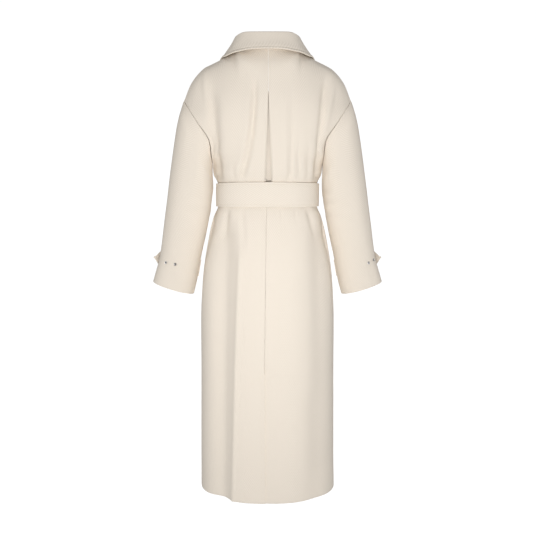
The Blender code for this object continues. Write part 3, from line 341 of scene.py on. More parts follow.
class CoatColours(bpy.types.PropertyGroup):
    """Colours of the cloth, thread and metal, of the painted shade inside the eyelets, and of the studio."""
    cream: colour_property("Cream", "Face of the cloth", (0.86, 0.785, 0.690))
    shade: colour_property("Shade", "Between the ribs", (0.74, 0.660, 0.560))
    thread: colour_property("Thread", "Stitching thread", (0.76, 0.67, 0.54))
    silver: colour_property("Silver", "Eyelets", (0.60, 0.59, 0.58))
    # Painted shade: the dark disc inside each eyelet stands for the shade in its hole
    painted_hole_shade: colour_property("Hole", "Inside an eyelet", (0.10, 0.085, 0.07))
    studio: colour_property("Studio", "Floor and backdrop", (0.92, 0.92, 0.92))


def sizes():
    return bpy.context.scene.coat_sizes


def colours():
    return bpy.context.scene.coat_colours


def smooth(value):
    value = min(1.0, max(0.0, value))
    return value * value * (3.0 - 2.0 * value)


def lookup(table, place):
    """The value at a place in a table of (place, value) rows."""
    if place <= table[0][0]:
        return table[0][1]
    for (low, first), (high, second) in zip(table, table[1:]):
        if place <= high:
            return first + (second - first) * (place - low) / (high - low)
    return table[-1][1]


def bisect(value_at, target, low, high):
    """The place between low and high where a rising function reaches the target."""
    for _ in range(22):
        middle = 0.5 * (low + high)
        if value_at(middle) < target:
            low = middle
        else:
            high = middle
    return 0.5 * (low + high)


def curve_through(points, place):
    """A smooth curve through the points, at place 0 to len(points) - 1."""
    last = len(points) - 1
    index = min(last - 1, max(0, int(place)))
    share = place - index
    start, end = points[index], points[index + 1]
    span = max((end - start).length, 1e-6)
    slopes = []
    for at in (index, index + 1):
        if at in (0, last):
            slopes.append(end - start)
            continue
        before, after = points[at] - points[at - 1], points[at + 1] - points[at]
        short, long = max(before.length, 1e-6), max(after.length, 1e-6)
        slopes.append((before * (long / short) + after * (short / long)) / (short + long) * span)
    square, cube = share * share, share ** 3
    return (start * (2 * cube - 3 * square + 1) + slopes[0] * (cube - 2 * square + share)
            + end * (3 * square - 2 * cube) + slopes[1] * (cube - square))


def bezier(start, first, second, end, share):
    rest = 1.0 - share
    return (start * rest ** 3 + first * (3 * rest * rest * share)
            + second * (3 * rest * share * share) + end * share ** 3)


# The coat's form, worked out on the wearer's left and mirrored to the right

def armhole(half, place):
    return curve_through([Vector(spot) for spot in ARMHOLE[half]], place)


def top_row(half, turn):
    if turn >= NECK_SHARE:
        along = (turn - NECK_SHARE) / (1.0 - NECK_SHARE) * (len(SHOULDER) - 1)
        return curve_through([Vector(spot) for spot in SHOULDER], along)
    centre, point = Vector(NECK_CENTRE[half]), Vector(SHOULDER[0])
    angle = 0.5 * math.pi * turn / NECK_SHARE
    z = centre.z + (point.z - centre.z) * (1.0 - math.cos(angle))
    return Vector((point.x * math.sin(angle), centre.y * math.cos(angle), z))


@functools.lru_cache(maxsize=200000)
def row_point(half, index, turn):
    """A point on one cross row of the coat, from the centre line (turn 0) to the side (turn 1)."""
    if index < UNDERARM:
        level = LEVELS[index]
        depth, z = (level.back, level.z_back) if half == BACK else (-level.front, level.z_front)
        near = level.z_side + (z - level.z_side) * FULLNESS
        side = Vector((level.width, 0, level.z_side))
        return bezier(Vector((0, depth, z)), Vector((level.width * FULLNESS, depth, z)),
                      Vector((level.width, depth * FULLNESS, near)), side, turn)
    index -= UNDERARM
    if index < len(CHEST[half]):
        row = CHEST[half][index]
        end = armhole(half, row.arm)
        pull = Vector((row.pull_x, row.pull_y, row.pull_z))
        return bezier(Vector((0, row.y, row.z)), Vector((row.reach, row.y, row.z)), end + pull, end, turn)
    if index > len(CHEST[half]):
        return top_row(half, turn)
    centre, neck, arm = [Vector(step) for step in TOP_STEP[half]]
    if turn < NECK_SHARE:
        step = centre.lerp(neck, smooth(turn / NECK_SHARE))
    else:
        step = neck.lerp(arm, smooth((turn - NECK_SHARE) / (1.0 - NECK_SHARE)))
    point = top_row(half, turn) + step
    return point.lerp(armhole(half, TOP_ARM), (max(0.0, turn - TOP_JOIN) / (1.0 - TOP_JOIN)) ** 2)


def bare_point(half, turn, height):
    """The coat's form without folds, at a height index from 0, the hem, to TOP."""
    index = min(TOP - 1, int(height))
    first, last = max(0, index - 1), min(TOP, index + 2)
    point = curve_through([row_point(half, at, abs(turn)) for at in range(first, last + 1)], height - first)
    return Vector((math.copysign(point.x, turn), half * max(0.0, half * point.y), point.z))


def outward(half, turn, height):
    """The direction out of the cloth."""
    across = bare_point(half, min(1.0, turn + TURN_STEP), height) - bare_point(half, turn - TURN_STEP, height)
    above = bare_point(half, turn, min(TOP, height + ROW_STEP))
    upward = above - bare_point(half, turn, max(0, height - ROW_STEP))
    return (upward.cross(across) * half).normalized()


def belt_calm(half, point):
    """0 where the belt holds the cloth, rising to 1 clear of it."""
    low, high = LEVELS[BELT_BOTTOM], LEVELS[BELT_TOP]
    back = 0.5 + 0.5 * point.y / (low.back if half == BACK else low.front)
    bottom = low.z_front + (low.z_back - low.z_front) * back
    top = high.z_front + (high.z_back - high.z_front) * back
    return smooth(max(bottom - point.z, point.z - top, 0.0) / BELT_CALM)


def wave_at(wave, x, y, z, offset=0.0):
    place = Vector((x * wave.round, y * wave.round, z * wave.up + wave.offset + offset))
    return noise.noise(place) * wave.share


def fold_depth(half, side, point):
    """How far the cloth is drawn in by folds and small waves at a point of the bare form."""
    x, z = side * point.x, point.z
    depth = 0.0
    for fold in FOLDS:
        fade = min(FOLD_FADE, max(SHORT_FADE, (fold.z_top - fold.z_low) / 4))
        if fold.half != half or not fold.z_low - fade < z < fold.z_top + fade:
            continue
        share = min(1.0, max(0.0, (fold.z_top - z) / (fold.z_top - fold.z_low)))
        centre = fold.x_top + (fold.x_low - fold.x_top) * share ** fold.bend
        wide = fold.wide_top + (fold.wide_low - fold.wide_top) * share
        away = (x - centre) / wide
        if abs(away) > FOLD_REACH:
            continue
        deep = fold.depth + (fold.depth_low - fold.depth) * share
        ends = smooth((fold.z_top + fade - z) / (2 * fade)) * smooth((z - fold.z_low + fade) / (2 * fade))
        depth += deep * ends * math.exp(-away * away)
    waves = sum(wave_at(wave, x, point.y, z) for wave in WAVES)
    return (depth + waves * sizes().unevenness) * belt_calm(half, point)


def coat_point(half, side, turn, height, out=0.0):
    """A point of the cloth's outer face, moved out by a distance."""
    point = bare_point(half, turn, height)
    way = outward(half, turn, height)
    folds = fold_depth(half, side, point) * (1.0 - smooth((turn - EDGE_CALM) / (1.0 - EDGE_CALM)))
    point += way * (out - folds)
    beside = max(turn - 1.0 + SEAM_SHARE, 0.0) / SEAM_SHARE
    below = max(height - TOP + SEAM_ROW, 0.0) / SEAM_ROW
    if beside > 0.0 or below > 0.0:
        if height <= UNDERARM or below > 0.0:
            way = (way + outward(-half, turn, height)).normalized()
        point -= way * (sizes().seam_dip * smooth(max(beside, below)))
    middle = lookup(CENTRE_LINE, point.z) if half == BACK else 0.0
    shift = middle * (1.0 - min(1.0, abs(turn))) ** 2
    return Vector((side * point.x + shift, point.y + half * SEAM_GAP / 2, point.z))


def turn_at(half, height, x):
    """The turn at which a row of the coat passes a distance from the middle."""
    return bisect(lambda turn: bare_point(half, turn, height).x, x, -0.9, 0.9)


def face_at(half, x, z):
    """Turn and height index of the point with this distance from the middle and this height."""
    turn, height = 0.3, 0.0
    for _ in range(5):
        height = bisect(lambda at: bare_point(half, turn, at).z, z, 0.0, float(TOP))
        turn = turn_at(half, height, x)
    return turn, height


def fine_rows():
    """Height indexes evenly spaced down the coat, with extra ones at the seams and the vent."""
    rows = {0.0, HEM_ROW, float(BELT_BOTTOM), float(BELT_TOP), VENT_FULL, VENT_TOP, VENT_EASE,
            TOP - SEAM_ROW, TOP - SEAM_ROW / 2, TOP - SEAM_ROW / 4, float(TOP)}
    for index in range(TOP):
        span = (row_point(BACK, index + 1, 0.5) - row_point(BACK, index, 0.5)).length
        steps = max(1, round(span / sizes().row_pitch))
        rows.update(index + step / steps for step in range(steps))
    kept = []
    for row in sorted(rows):
        if not kept or row - kept[-1] > LEAST_ROW:
            kept.append(row)
    kept[-1] = float(TOP)
    return kept


def fine_columns(number, last=True):
    """Shares across a panel, close together beside each sewn edge."""
    near = list(EDGE_COLUMNS)
    far = [1.0 - share for share in reversed(near)] if last else [1.0]
    steps = number - len(near) - len(far) + 1
    return near + [near[-1] + (far[0] - near[-1]) * step / steps for step in range(1, steps)] + far


# Making the pieces

def finish_piece(piece, node):
    """Make a piece ride the root, and hide the solid of model.glb that it replaces, if any."""
    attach(piece, "root")
    if node:
        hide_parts(node)
    return piece


def object_from(name, shape, material):
    mesh = bpy.data.meshes.new(name)
    shape.to_mesh(mesh)
    shape.free()
    mesh.shade_smooth()
    mesh.materials.append(material)
    piece = bpy.data.objects.new(name, mesh)
    bpy.context.scene.collection.objects.link(piece)
    return piece


def grid_piece(name, points, wall, flip=False, outside=False, tube=False, window=None, grain="up"):
    """A cloth piece from rows of points, with its own coordinates in metres of cloth."""
    rows, columns = len(points) - 1, len(points[0]) - 1
    shape = bmesh.new()
    bmesh.ops.create_grid(shape, x_segments=columns, y_segments=rows, size=0.5)
    up = [0.0]
    for row in range(rows):
        up.append(up[-1] + (points[row + 1][columns // 2] - points[row][columns // 2]).length)
    across = []
    for row in points:
        run = [0.0]
        for first, second in zip(row, row[1:]):
            run.append(run[-1] + (second - first).length)
        across.append(run)
    cloth = shape.loops.layers.uv.new("cloth")
    places = {vert: (round((vert.co.x + 0.5) * columns), round((vert.co.y + 0.5) * rows))
              for vert in shape.verts}
    for face in shape.faces:
        for loop in face.loops:
            column, row = places[loop.vert]
            place = (across[row][column], up[row])
            loop[cloth].uv = place if grain == "up" else (place[1], place[0])
    if window:
        cut = [face for face in shape.faces if window(face.calc_center_median())]
        bmesh.ops.delete(shape, geom=cut, context="FACES")
    for vert in shape.verts:
        column, row = places[vert]
        vert.co = points[row][column]
    if tube:
        bmesh.ops.remove_doubles(shape, verts=shape.verts, dist=SAME_PLACE)
    if flip:
        bmesh.ops.reverse_faces(shape, faces=shape.faces)
    piece = object_from(name, shape, wool())
    thickness = piece.modifiers.new("wall", "SOLIDIFY")
    thickness.thickness = wall
    thickness.offset = 1.0 if outside else -1.0
    thickness.use_even_offset = False
    rounding = piece.modifiers.new("turned edge", "BEVEL")
    rounding.width = sizes().edge_radius
    rounding.segments = 2
    rounding.limit_method = "ANGLE"
    rounding.angle_limit = math.radians(TURNED_ANGLE)
    return piece


def on_grid(points, column, row):
    """A point between the grid's points."""
    column = min(len(points[0]) - 1.001, max(0.0, column))
    row = min(len(points) - 1.001, max(0.0, row))
    left, low = int(column), int(row)
    bottom = points[low][left].lerp(points[low][left + 1], column - left)
    top = points[low + 1][left].lerp(points[low + 1][left + 1], column - left)
    return bottom.lerp(top, row - low)


def stitch_row(name, points, path, side, lift=0.0):
    """A row of stitches over a grid along a path of (column, row) places."""
    spots = []
    for (c_from, r_from), (c_to, r_to) in zip(path, path[1:]):
        steps = max(2, int(max(abs(c_to - c_from), abs(r_to - r_from)) * PATH_STEPS))
        for step in range(steps):
            share = step / steps
            column, row = c_from + (c_to - c_from) * share, r_from + (r_to - r_from) * share
            across = on_grid(points, column + PATH_SPAN, row) - on_grid(points, column - PATH_SPAN, row)
            upward = on_grid(points, column, row + PATH_SPAN) - on_grid(points, column, row - PATH_SPAN)
            spots.append((on_grid(points, column, row), across.cross(upward).normalized() * side))
    thread, long, gap = sizes().thread, sizes().stitch, sizes().stitch_gap
    shape = bmesh.new()
    run, due, start = 0.0, 0.0, None
    for (here, out), (there, _) in zip(spots, spots[1:]):
        stretch = (there - here).length
        while stretch > 0.0 and run + stretch > due:
            place = here.lerp(there, (due - run) / stretch) + out * lift
            if start is None:
                start, due = (place, out), due + long
            else:
                add_stitch(shape, start, (place, out), thread)
                start, due = None, due + gap
        run += stretch
    return finish_piece(object_from(name, shape, plain("thread", colours().thread, THREAD_ROUGH)), None)


def add_stitch(shape, start, end, thread):
    """One stitch: a short thread that dips into the cloth at both ends."""
    along = end[0] - start[0]
    side = along.cross(start[1]).normalized()
    rings = []
    for share, height in STITCH_FORM:
        middle = start[0] + along * share + start[1] * (thread * height)
        rings.append([shape.verts.new(middle + side * (thread * x) + start[1] * (thread * y))
                      for x, y in ((1, 0), (0, 1), (-1, 0), (0, -1))])
    for first, second in zip(rings, rings[1:]):
        for corner in range(4):
            onward = (corner + 1) % 4
            shape.faces.new((first[corner], second[corner], second[onward], first[onward]))
    shape.faces.new(rings[0])
    shape.faces.new(tuple(reversed(rings[-1])))


def set_inputs(node, values):
    for name, value in values.items():
        node.inputs[name].default_value = value


def new_material(name):
    """A material with its node tree and its shader."""
    material = bpy.data.materials.new(name)
    material.use_nodes = True
    return material, material.node_tree, material.node_tree.nodes["Principled BSDF"]


def plain(name, colour, roughness, metallic=0.0):
    """A material of one even colour, made once."""
    material = bpy.data.materials.get(name)
    if not material:
        material, _, shader = new_material(name)
        set_inputs(shader, {"Base Color": (*colour, 1.0), "Roughness": roughness, "Metallic": metallic})
    return material


def math_node(tree, operation, first, second=None):
    node = tree.nodes.new("ShaderNodeMath")
    node.operation = operation
    for socket, value in zip(node.inputs, (first, second)):
        if value is None:
            continue
        if isinstance(value, (int, float)):
            socket.default_value = value
        else:
            tree.links.new(value, socket)
    return node.outputs[0]


def wool():
    """Napped wool with steep ribs that change sides from stripe to stripe."""
    material = bpy.data.materials.get("wool")
    if material:
        return material
    size, colour = sizes(), colours()
    material, tree, shader = new_material("wool")
    place = tree.nodes.new("ShaderNodeUVMap")
    place.uv_map = "cloth"
    parts = tree.nodes.new("ShaderNodeSeparateXYZ")
    tree.links.new(place.outputs["UV"], parts.inputs[0])
    fleck, cloud = [tree.nodes.new("ShaderNodeTexNoise") for _ in range(2)]
    for grain, form in ((fleck, FLECK), (cloud, CLOUD)):
        set_inputs(grain, form)
        tree.links.new(place.outputs["UV"], grain.inputs["Vector"])
    turn = math_node(tree, "PINGPONG", parts.outputs[0], size.stripe)
    slanted = math_node(tree, "MULTIPLY", turn, size.rib_slope)
    climb = math_node(tree, "SUBTRACT", parts.outputs[1], slanted)
    jitter = math_node(tree, "MULTIPLY", cloud.outputs["Fac"], size.rib * RIB_WANDER)
    phase = math_node(tree, "MULTIPLY", math_node(tree, "ADD", climb, jitter), 2.0 * math.pi / size.rib)
    rib = math_node(tree, "MULTIPLY_ADD", math_node(tree, "SINE", phase), 0.5)
    rib.node.inputs[2].default_value = 0.5
    mixed = math_node(tree, "ADD", math_node(tree, "MULTIPLY", rib, RIB_SHARE),
                      math_node(tree, "MULTIPLY", fleck.outputs["Fac"], FLECK_SHARE))
    blend = tree.nodes.new("ShaderNodeMix")
    blend.data_type = "RGBA"
    tree.links.new(mixed, blend.inputs["Factor"])
    set_inputs(blend, {"A": (*colour.shade, 1.0), "B": (*colour.cream, 1.0)})
    tree.links.new(blend.outputs["Result"], shader.inputs["Base Color"])
    bump = tree.nodes.new("ShaderNodeBump")
    set_inputs(bump, RIB_RELIEF)
    tree.links.new(mixed, bump.inputs["Height"])
    tree.links.new(bump.outputs["Normal"], shader.inputs["Normal"])
    set_inputs(shader, WOOL_FINISH)
    return material


def back_points(side, rows, columns):
    """The half back from the centre seam to the side; the right one has the vent's underlap."""
    points = []
    for height in rows:
        z = bare_point(BACK, 0.0, height).z
        lap = smooth((VENT_TOP - height) / (VENT_TOP - VENT_FULL)) if side == RIGHT else 0.0
        start = -turn_at(BACK, height, VENT_LAP) * lap if lap else 0.0
        down = min(1.0, max(0.0, (PLEAT_TOP - z) / (PLEAT_TOP - LEVELS[BELT_TOP].z_back)))
        low, high = LEVELS[BELT_BOTTOM].z_back, LEVELS[BELT_TOP].z_back
        closing = smooth((z - low) / (high - low))
        row = []
        for across in columns:
            turn = start + (1.0 - start) * across
            edge = 1.0 - smooth(abs(turn) / PLEAT_TURN)
            sewn = 0.0 if height < VENT_TOP or down * closing > 0.0 else 1.0
            point = coat_point(BACK, side, turn, height)
            if side == RIGHT:
                step = smooth((VENT_EASE - height) / (VENT_EASE - VENT_TOP))
                near = smooth((point.x - lookup(CENTRE_LINE, z) + VENT_STEP) / (STEP_SHARE * VENT_STEP))
                point.y -= (sizes().cloth + LAY_GAP) * step * near
            point.y -= edge * (sizes().seam_dip * sewn + PLEAT_TUCK * down * closing)
            aside = PLEAT_OPEN * down * closing * (1.0 - smooth(abs(turn) / PLEAT_FADE))
            point.x += side * (aside + SEAM_GAP / 2)
            row.append(point)
        points.append(row)
    return points


def at_row(rows, height):
    """The place among the rows of a height index."""
    for place, (low, high) in enumerate(zip(rows, rows[1:])):
        if height <= high:
            return place + (height - low) / (high - low)
    return len(rows) - 1.0


def vent_stitches(points, top):
    """The slanted stitches at the vent's top and the ones down its edge."""
    row = int(top)
    reach = next(place for place, point in enumerate(points[row])
                 if point.x - points[row][0].x > VENT_STITCH[0])
    down = next(place for place in range(row, 0, -1)
                if points[row][0].z - points[place][0].z > VENT_STITCH[1])
    edge = next(place for place, point in enumerate(points[2])
                if point.x - points[2][0].x > sizes().edge_stitch)
    return [stitch_row("vent_stitching", points, [(0.5, top), (reach, down)], LEFT),
            stitch_row("vent_edge_stitching", points, [(edge, top - 0.5), (edge, 0.5)], LEFT)]


def strip_point(column, height):
    """A point of the strip behind the pleat, which sinks in towards its middle."""
    away = abs(column) / STRIP_COLUMNS
    sink = STRIP_SINK * (1.0 - smooth(away)) * smooth((height - SINK_FROM) / SINK_RUN)
    turn = STRIP_TURN * abs(column) / STRIP_COLUMNS
    return coat_point(BACK, LEFT if column >= 0 else RIGHT, turn, height, -sizes().cloth - LAY_GAP - sink)


class COAT_OT_backs(bpy.types.Operator):
    """Build both halves of the back, with the pleat's strip and the vent"""
    bl_idname = "coat.backs"
    bl_label = "Back and pleat"

    def execute(self, context):
        rows, columns = fine_rows(), fine_columns(sizes().back_columns)
        for side, hand in HANDS:
            points = back_points(side, rows, columns)
            piece = grid_piece(f"wool_back_{hand}", points, sizes().cloth, flip=side == LEFT)
            finish_piece(piece, f"back_{hand}")
            extra = vent_stitches(points, at_row(rows, VENT_TOP)) if side == LEFT else []
        heights = [STRIP_LOW + (STRIP_HIGH - STRIP_LOW) * step / STRIP_ROWS for step in range(STRIP_ROWS + 1)]
        points = [[strip_point(column, height) for column in range(-STRIP_COLUMNS, STRIP_COLUMNS + 1)]
                  for height in heights]
        piece = grid_piece("wool_pleat_strip", points, sizes().cloth, flip=True)
        finish_piece(piece, "pleat_underlay")
        return {"FINISHED"}


def lift_over(x, z):
    """How far the right front stands out to cross the left one."""
    low, high = OVERLAP_TOP
    crossed = smooth((high - z) / (high - low))
    return OVERLAP * crossed * smooth((x + FRONT_EDGE[0][1] + OVERLAP_RAMP) / OVERLAP_RAMP)


def front_point(side, turn, height, out=0.0):
    """A point of a front's outer face."""
    bare = bare_point(FRONT, turn, height)
    lift = lift_over(-bare.x, bare.z) if side == RIGHT else 0.0
    return coat_point(FRONT, side, turn, height, out + lift)


def front_turn(height):
    """The turn at which a front ends, past the middle."""
    turn = 0.0
    for _ in range(4):
        z = bare_point(FRONT, turn, height).z
        turn = turn_at(FRONT, height, -lookup(FRONT_EDGE, z))
    return turn


class COAT_OT_fronts(bpy.types.Operator):
    """Build the crossed fronts"""
    bl_idname = "coat.fronts"
    bl_label = "Fronts"

    def execute(self, context):
        rows, columns = fine_rows(), fine_columns(sizes().front_columns, last=False)
        edges = [front_turn(height) for height in rows]
        for side, hand in HANDS:
            points = [[front_point(side, 1.0 + (edge - 1.0) * across, height) for across in columns]
                      for height, edge in zip(rows, edges)]
            piece = grid_piece(f"wool_front_{hand}", points, sizes().cloth, flip=side == LEFT)
            finish_piece(piece, f"front_{hand}")
            if side == RIGHT:
                edge = len(columns) - 1 - FRONT_STITCH
                path = [(edge, 1.0), (edge, at_row(rows, BELT_BOTTOM) - 1.0)]
                stitch_row("front_edge_stitching", points, path, LEFT)
        return {"FINISHED"}


class COAT_OT_lapels(bpy.types.Operator):
    """Build the lapels, turned back over the fronts"""
    bl_idname = "coat.lapels"
    bl_label = "Lapels"

    def execute(self, context):
        widths = [(row.z, row.width) for row in LAPELS]
        rises = [(row.z, row.rise) for row in LAPELS]
        for side, hand in HANDS:
            points = []
            for row in range(LAPEL_ROWS + 1):
                z = LAPEL_LOW[side] + (LAPELS[-1].z - LAPEL_LOW[side]) * row / LAPEL_ROWS
                edge = lookup(FRONT_EDGE, z)
                outer, inner = lookup(widths, z) - edge, LAY_GAP - edge
                if side == LEFT:
                    inner = max(inner, edge + OVERLAP)
                line = []
                for column in range(LAPEL_COLUMNS + 1):
                    share = column / LAPEL_COLUMNS
                    x, up = inner + (outer - inner) * share, z + lookup(rises, z) * share
                    turn, height = face_at(FRONT, x, up)
                    roll = LAPEL_ROLL * math.sin(math.pi * min(1.0, share * ROLL_RATE))
                    roll *= 1.0 if share < ROLL_END else 0.0
                    lift = LAPEL_LIFT[0] + (LAPEL_LIFT[1] - LAPEL_LIFT[0]) * share + roll
                    line.append(front_point(side, turn, height, lift))
                points.append(line)
            piece = grid_piece(f"wool_lapel_{hand}", points, sizes().cloth, flip=side == RIGHT, outside=True)
            finish_piece(piece, f"lapel_{hand}")
            edge, last = LAPEL_COLUMNS - LAPEL_STITCH, LAPEL_ROWS - 1.0
            path = [(edge, 1.0), (edge, last), (1.0, last)]
            stitches = stitch_row(f"lapel_stitching_{hand}", points, path, side, lift=sizes().cloth)
        return {"FINISHED"}


def collar_point(column, row):
    """A point of the collar, up its stand, round its roll and down its fall."""
    across = 2.0 * column / COLLAR_STATIONS - 1.0
    at = abs(across) * (len(COLLAR) - 1)
    seam, roll, edge = (curve_through([Vector(getattr(section, part)) for section in COLLAR], at)
                        for part in Collar._fields)
    out = Vector((edge.x - seam.x, edge.y - seam.y, 0)).normalized()
    up = Vector((0, 0, 1))
    turned = (math.pi - ROLL_OPEN) * min(1.0, max(0.0, (row - STAND) / ROLL))
    point = roll + out * ROLL_RADIUS + (up * math.sin(turned) - out * math.cos(turned)) * ROLL_RADIUS
    if row < STAND:
        point = seam.lerp(roll, row / STAND)
    if row > STAND + ROLL:
        share = (row - STAND - ROLL) / FALL
        place = Vector((column * FALL_WAVE[0], share * FALL_WAVE[1], FALL_WAVE[2]))
        wave = noise.noise(place) * WAVE_RISE * share
        ridge = sum(rise * math.exp(-((share - at) / wide) ** 2) for rise, at, wide in EDGE_RIDGES)
        bow = FALL_BOW * math.sin(math.pi * share) + wave + ridge
        point = point.lerp(edge, share) + (out + up) * bow
    return Vector((math.copysign(point.x, across), point.y, point.z))


class COAT_OT_collar(bpy.types.Operator):
    """Build the collar: stand, roll and fall in one strip"""
    bl_idname = "coat.collar"
    bl_label = "Collar"

    def execute(self, context):
        points = [[collar_point(column, row) for column in range(COLLAR_STATIONS + 1)]
                  for row in range(STAND + ROLL + FALL + 1)]
        piece = grid_piece("wool_collar", points, sizes().collar_cloth, grain="across")
        finish_piece(piece, "collar")
        top, edge = STAND + ROLL + 1.0, STAND + ROLL + FALL * COLLAR_STITCH
        last = COLLAR_STATIONS - 2.0
        path = [(2.0, top), (2.0, edge), (last, edge), (last, top)]
        stitches = stitch_row("collar_stitching", points, path, 1)
        return {"FINISHED"}


def waist_point(half, side, turn, rise, out):
    """A point on the straight band round the waist, at a share of the height between its two levels."""
    low = row_point(half, BELT_BOTTOM, abs(turn))
    high = row_point(half, BELT_TOP, abs(turn))
    point = low.lerp(high, rise) + outward(half, abs(turn), 0.5 * (BELT_BOTTOM + BELT_TOP)) * out
    return Vector((side * math.copysign(point.x, turn), point.y, point.z))


def belt_lift(half, x):
    if half == BACK:
        return 0.0
    clear, bare = BELT_CLEAR
    return lift_over(x, LEVELS[BELT_TOP].z_front) * (1.0 - smooth((x - clear) / (bare - clear)))


def band_rises(inset):
    """Shares of a band's height, with rows at the edge stitching and outside it."""
    low, high = BELT_EDGES
    rises = [low + (high - low) * step / BELT_ROWS for step in range(BELT_ROWS + 1)]
    for share in (1.0, OUTSIDE_STITCH):
        rises += [low + share * inset, high - share * inset]
    return sorted(rises)


def stitch_dip(rise, inset):
    """The groove that the edge stitching pulls into a band."""
    low, high = BELT_EDGES
    near = min(abs(rise - low - inset), abs(rise - high + inset))
    return STITCH_DIP * math.exp(-(near / (DIP_WIDTH * inset)) ** 2)


def belt_point(half, side, turn, rise, inset):
    """A point of the belt, which wanders a little up and down and out."""
    x = side * row_point(half, BELT_BOTTOM, turn).x
    sway = noise.noise(Vector((x * SWAY_WAVE[0], half * SWAY_WAVE[1], SWAY_WAVE[2]))) * BELT_SWAY
    swell = noise.noise(Vector((x * SWELL_WAVE[0], half * SWELL_WAVE[1], rise * SWELL_WAVE[2]))) * BELT_SWELL
    out = BELT_GAP + belt_lift(half, x) - stitch_dip(rise, inset) + max(swell, BELT_SINK)
    return waist_point(half, side, turn, rise + sway * (1.0 if half == BACK else FRONT_SWAY), out)


def on_belt(turn, rise, out):
    """A point laid on the front of the belt."""
    x = math.copysign(row_point(FRONT, BELT_BOTTOM, abs(turn)).x, turn)
    out += BELT_GAP + belt_lift(FRONT, x) + sizes().double_cloth
    return waist_point(FRONT, LEFT, turn, rise, out)


class COAT_OT_belt(bpy.types.Operator):
    """Build the belt, its free end and its covered buckle"""
    bl_idname = "coat.belt"
    bl_label = "Belt and buckle"

    def execute(self, context):
        inset = sizes().edge_stitch / (LEVELS[BELT_TOP].z_back - LEVELS[BELT_BOTTOM].z_back)
        rises = band_rises(inset)
        quarters = ((FRONT, LEFT, 0, 1), (BACK, LEFT, 1, 0), (BACK, RIGHT, 0, 1), (FRONT, RIGHT, 1, 0))
        stations = [(half, side, start + (end - start) * step / QUARTER)
                    for half, side, start, end in quarters for step in range(QUARTER)]
        points = [[belt_point(half, side, turn, rise, inset) for half, side, turn in stations + stations[:1]]
                  for rise in rises]
        piece = grid_piece("wool_belt", points, sizes().double_cloth, outside=True, tube=True, grain="across")
        finish_piece(piece, "belt")
        low, high = rises.index(BELT_EDGES[0] + inset), rises.index(BELT_EDGES[1] - inset)
        last = len(stations) - 0.5
        stitches = [stitch_row(f"belt_stitching_{name}", points, [(0.5, row), (last, row)], 1,
                               lift=sizes().double_cloth) for name, row in (("low", low), ("high", high))]
        self.free_end(rises, inset)
        self.buckle()
        return {"FINISHED"}

    def free_end(self, rises, inset):
        """The belt's end, laid on the belt and brought to a point."""
        middle = 0.5 * sum(BELT_EDGES)
        points = []
        for rise in rises:
            line = []
            out = LAY_GAP - stitch_dip(rise, inset)
            for column in range(END_COLUMNS + 1):
                turn = END_FROM + (END_TO - END_FROM) * column / END_COLUMNS
                narrow = max(END_BLUNT, 1.0 - max(0.0, turn - END_TO + END_POINT) / END_POINT)
                line.append(on_belt(turn, middle + (rise - middle) * narrow, out))
            points.append(line)
        piece = grid_piece("wool_belt_end", points, sizes().double_cloth, outside=True, grain="across")
        finish_piece(piece, "belt_end")
        low, high = rises.index(BELT_EDGES[0] + inset), rises.index(BELT_EDGES[1] - inset)
        last = END_COLUMNS - 3.0
        path = [(1.0, low), (last, low), (last, high), (1.0, high)]
        stitches = stitch_row("belt_end_stitching", points, path, 1, lift=sizes().double_cloth)

    def buckle(self):
        """The frame that the belt passes through."""
        inner = BUCKLE_HALF_W - BUCKLE_SIDE
        low, high = BUCKLE_WINDOW
        steps = range(1, BUCKLE_CELLS)
        places = [-BUCKLE_HALF_W, -inner, *(-inner + 2 * inner * step / BUCKLE_CELLS for step in steps),
                  inner, BUCKLE_HALF_W]
        rises = [BUCKLE_RISE[0], low, *(low + (high - low) * step / BUCKLE_CELLS for step in steps),
                 high, BUCKLE_RISE[1]]
        turns = [turn_at(FRONT, BELT_BOTTOM, x) for x in places]
        out = 2 * LAY_GAP + sizes().double_cloth
        points = [[on_belt(turn, rise, out) for turn in turns] for rise in rises]
        margin = 0.5 - 1.0 / (len(places) - 1)
        piece = grid_piece("wool_buckle", points, sizes().buckle_wall, outside=True,
                           window=lambda centre: abs(centre.x) < margin and abs(centre.y) < margin)
        piece.modifiers["turned edge"].width = BUCKLE_ROUNDING
        piece.modifiers["turned edge"].segments = 3
        finish_piece(piece, "belt_buckle")


@functools.lru_cache(maxsize=40000)
def sleeve_ring(index, around):
    """A point of a sleeve's ring: around from the underarm by the back; ring 0 is the armhole."""
    if index == 0:
        half = BACK if around <= 0.5 else FRONT
        share = (around if around <= 0.5 else 1.0 - around) * 2.0
        return bare_point(half, 1.0, UNDERARM + (TOP - UNDERARM) * share)
    ring = RINGS[index - 1]
    inner = Vector((ring.x_in, -ring.ahead, ring.z_in))
    outer = Vector((ring.x_out, -ring.ahead, ring.z_out))
    angle = 2.0 * math.pi * around
    point = (inner + outer) / 2 - (outer - inner) / 2 * math.cos(angle)
    point.y += math.copysign(ring.depth * abs(math.sin(angle)) ** RING_FULLNESS, math.sin(angle))
    return point


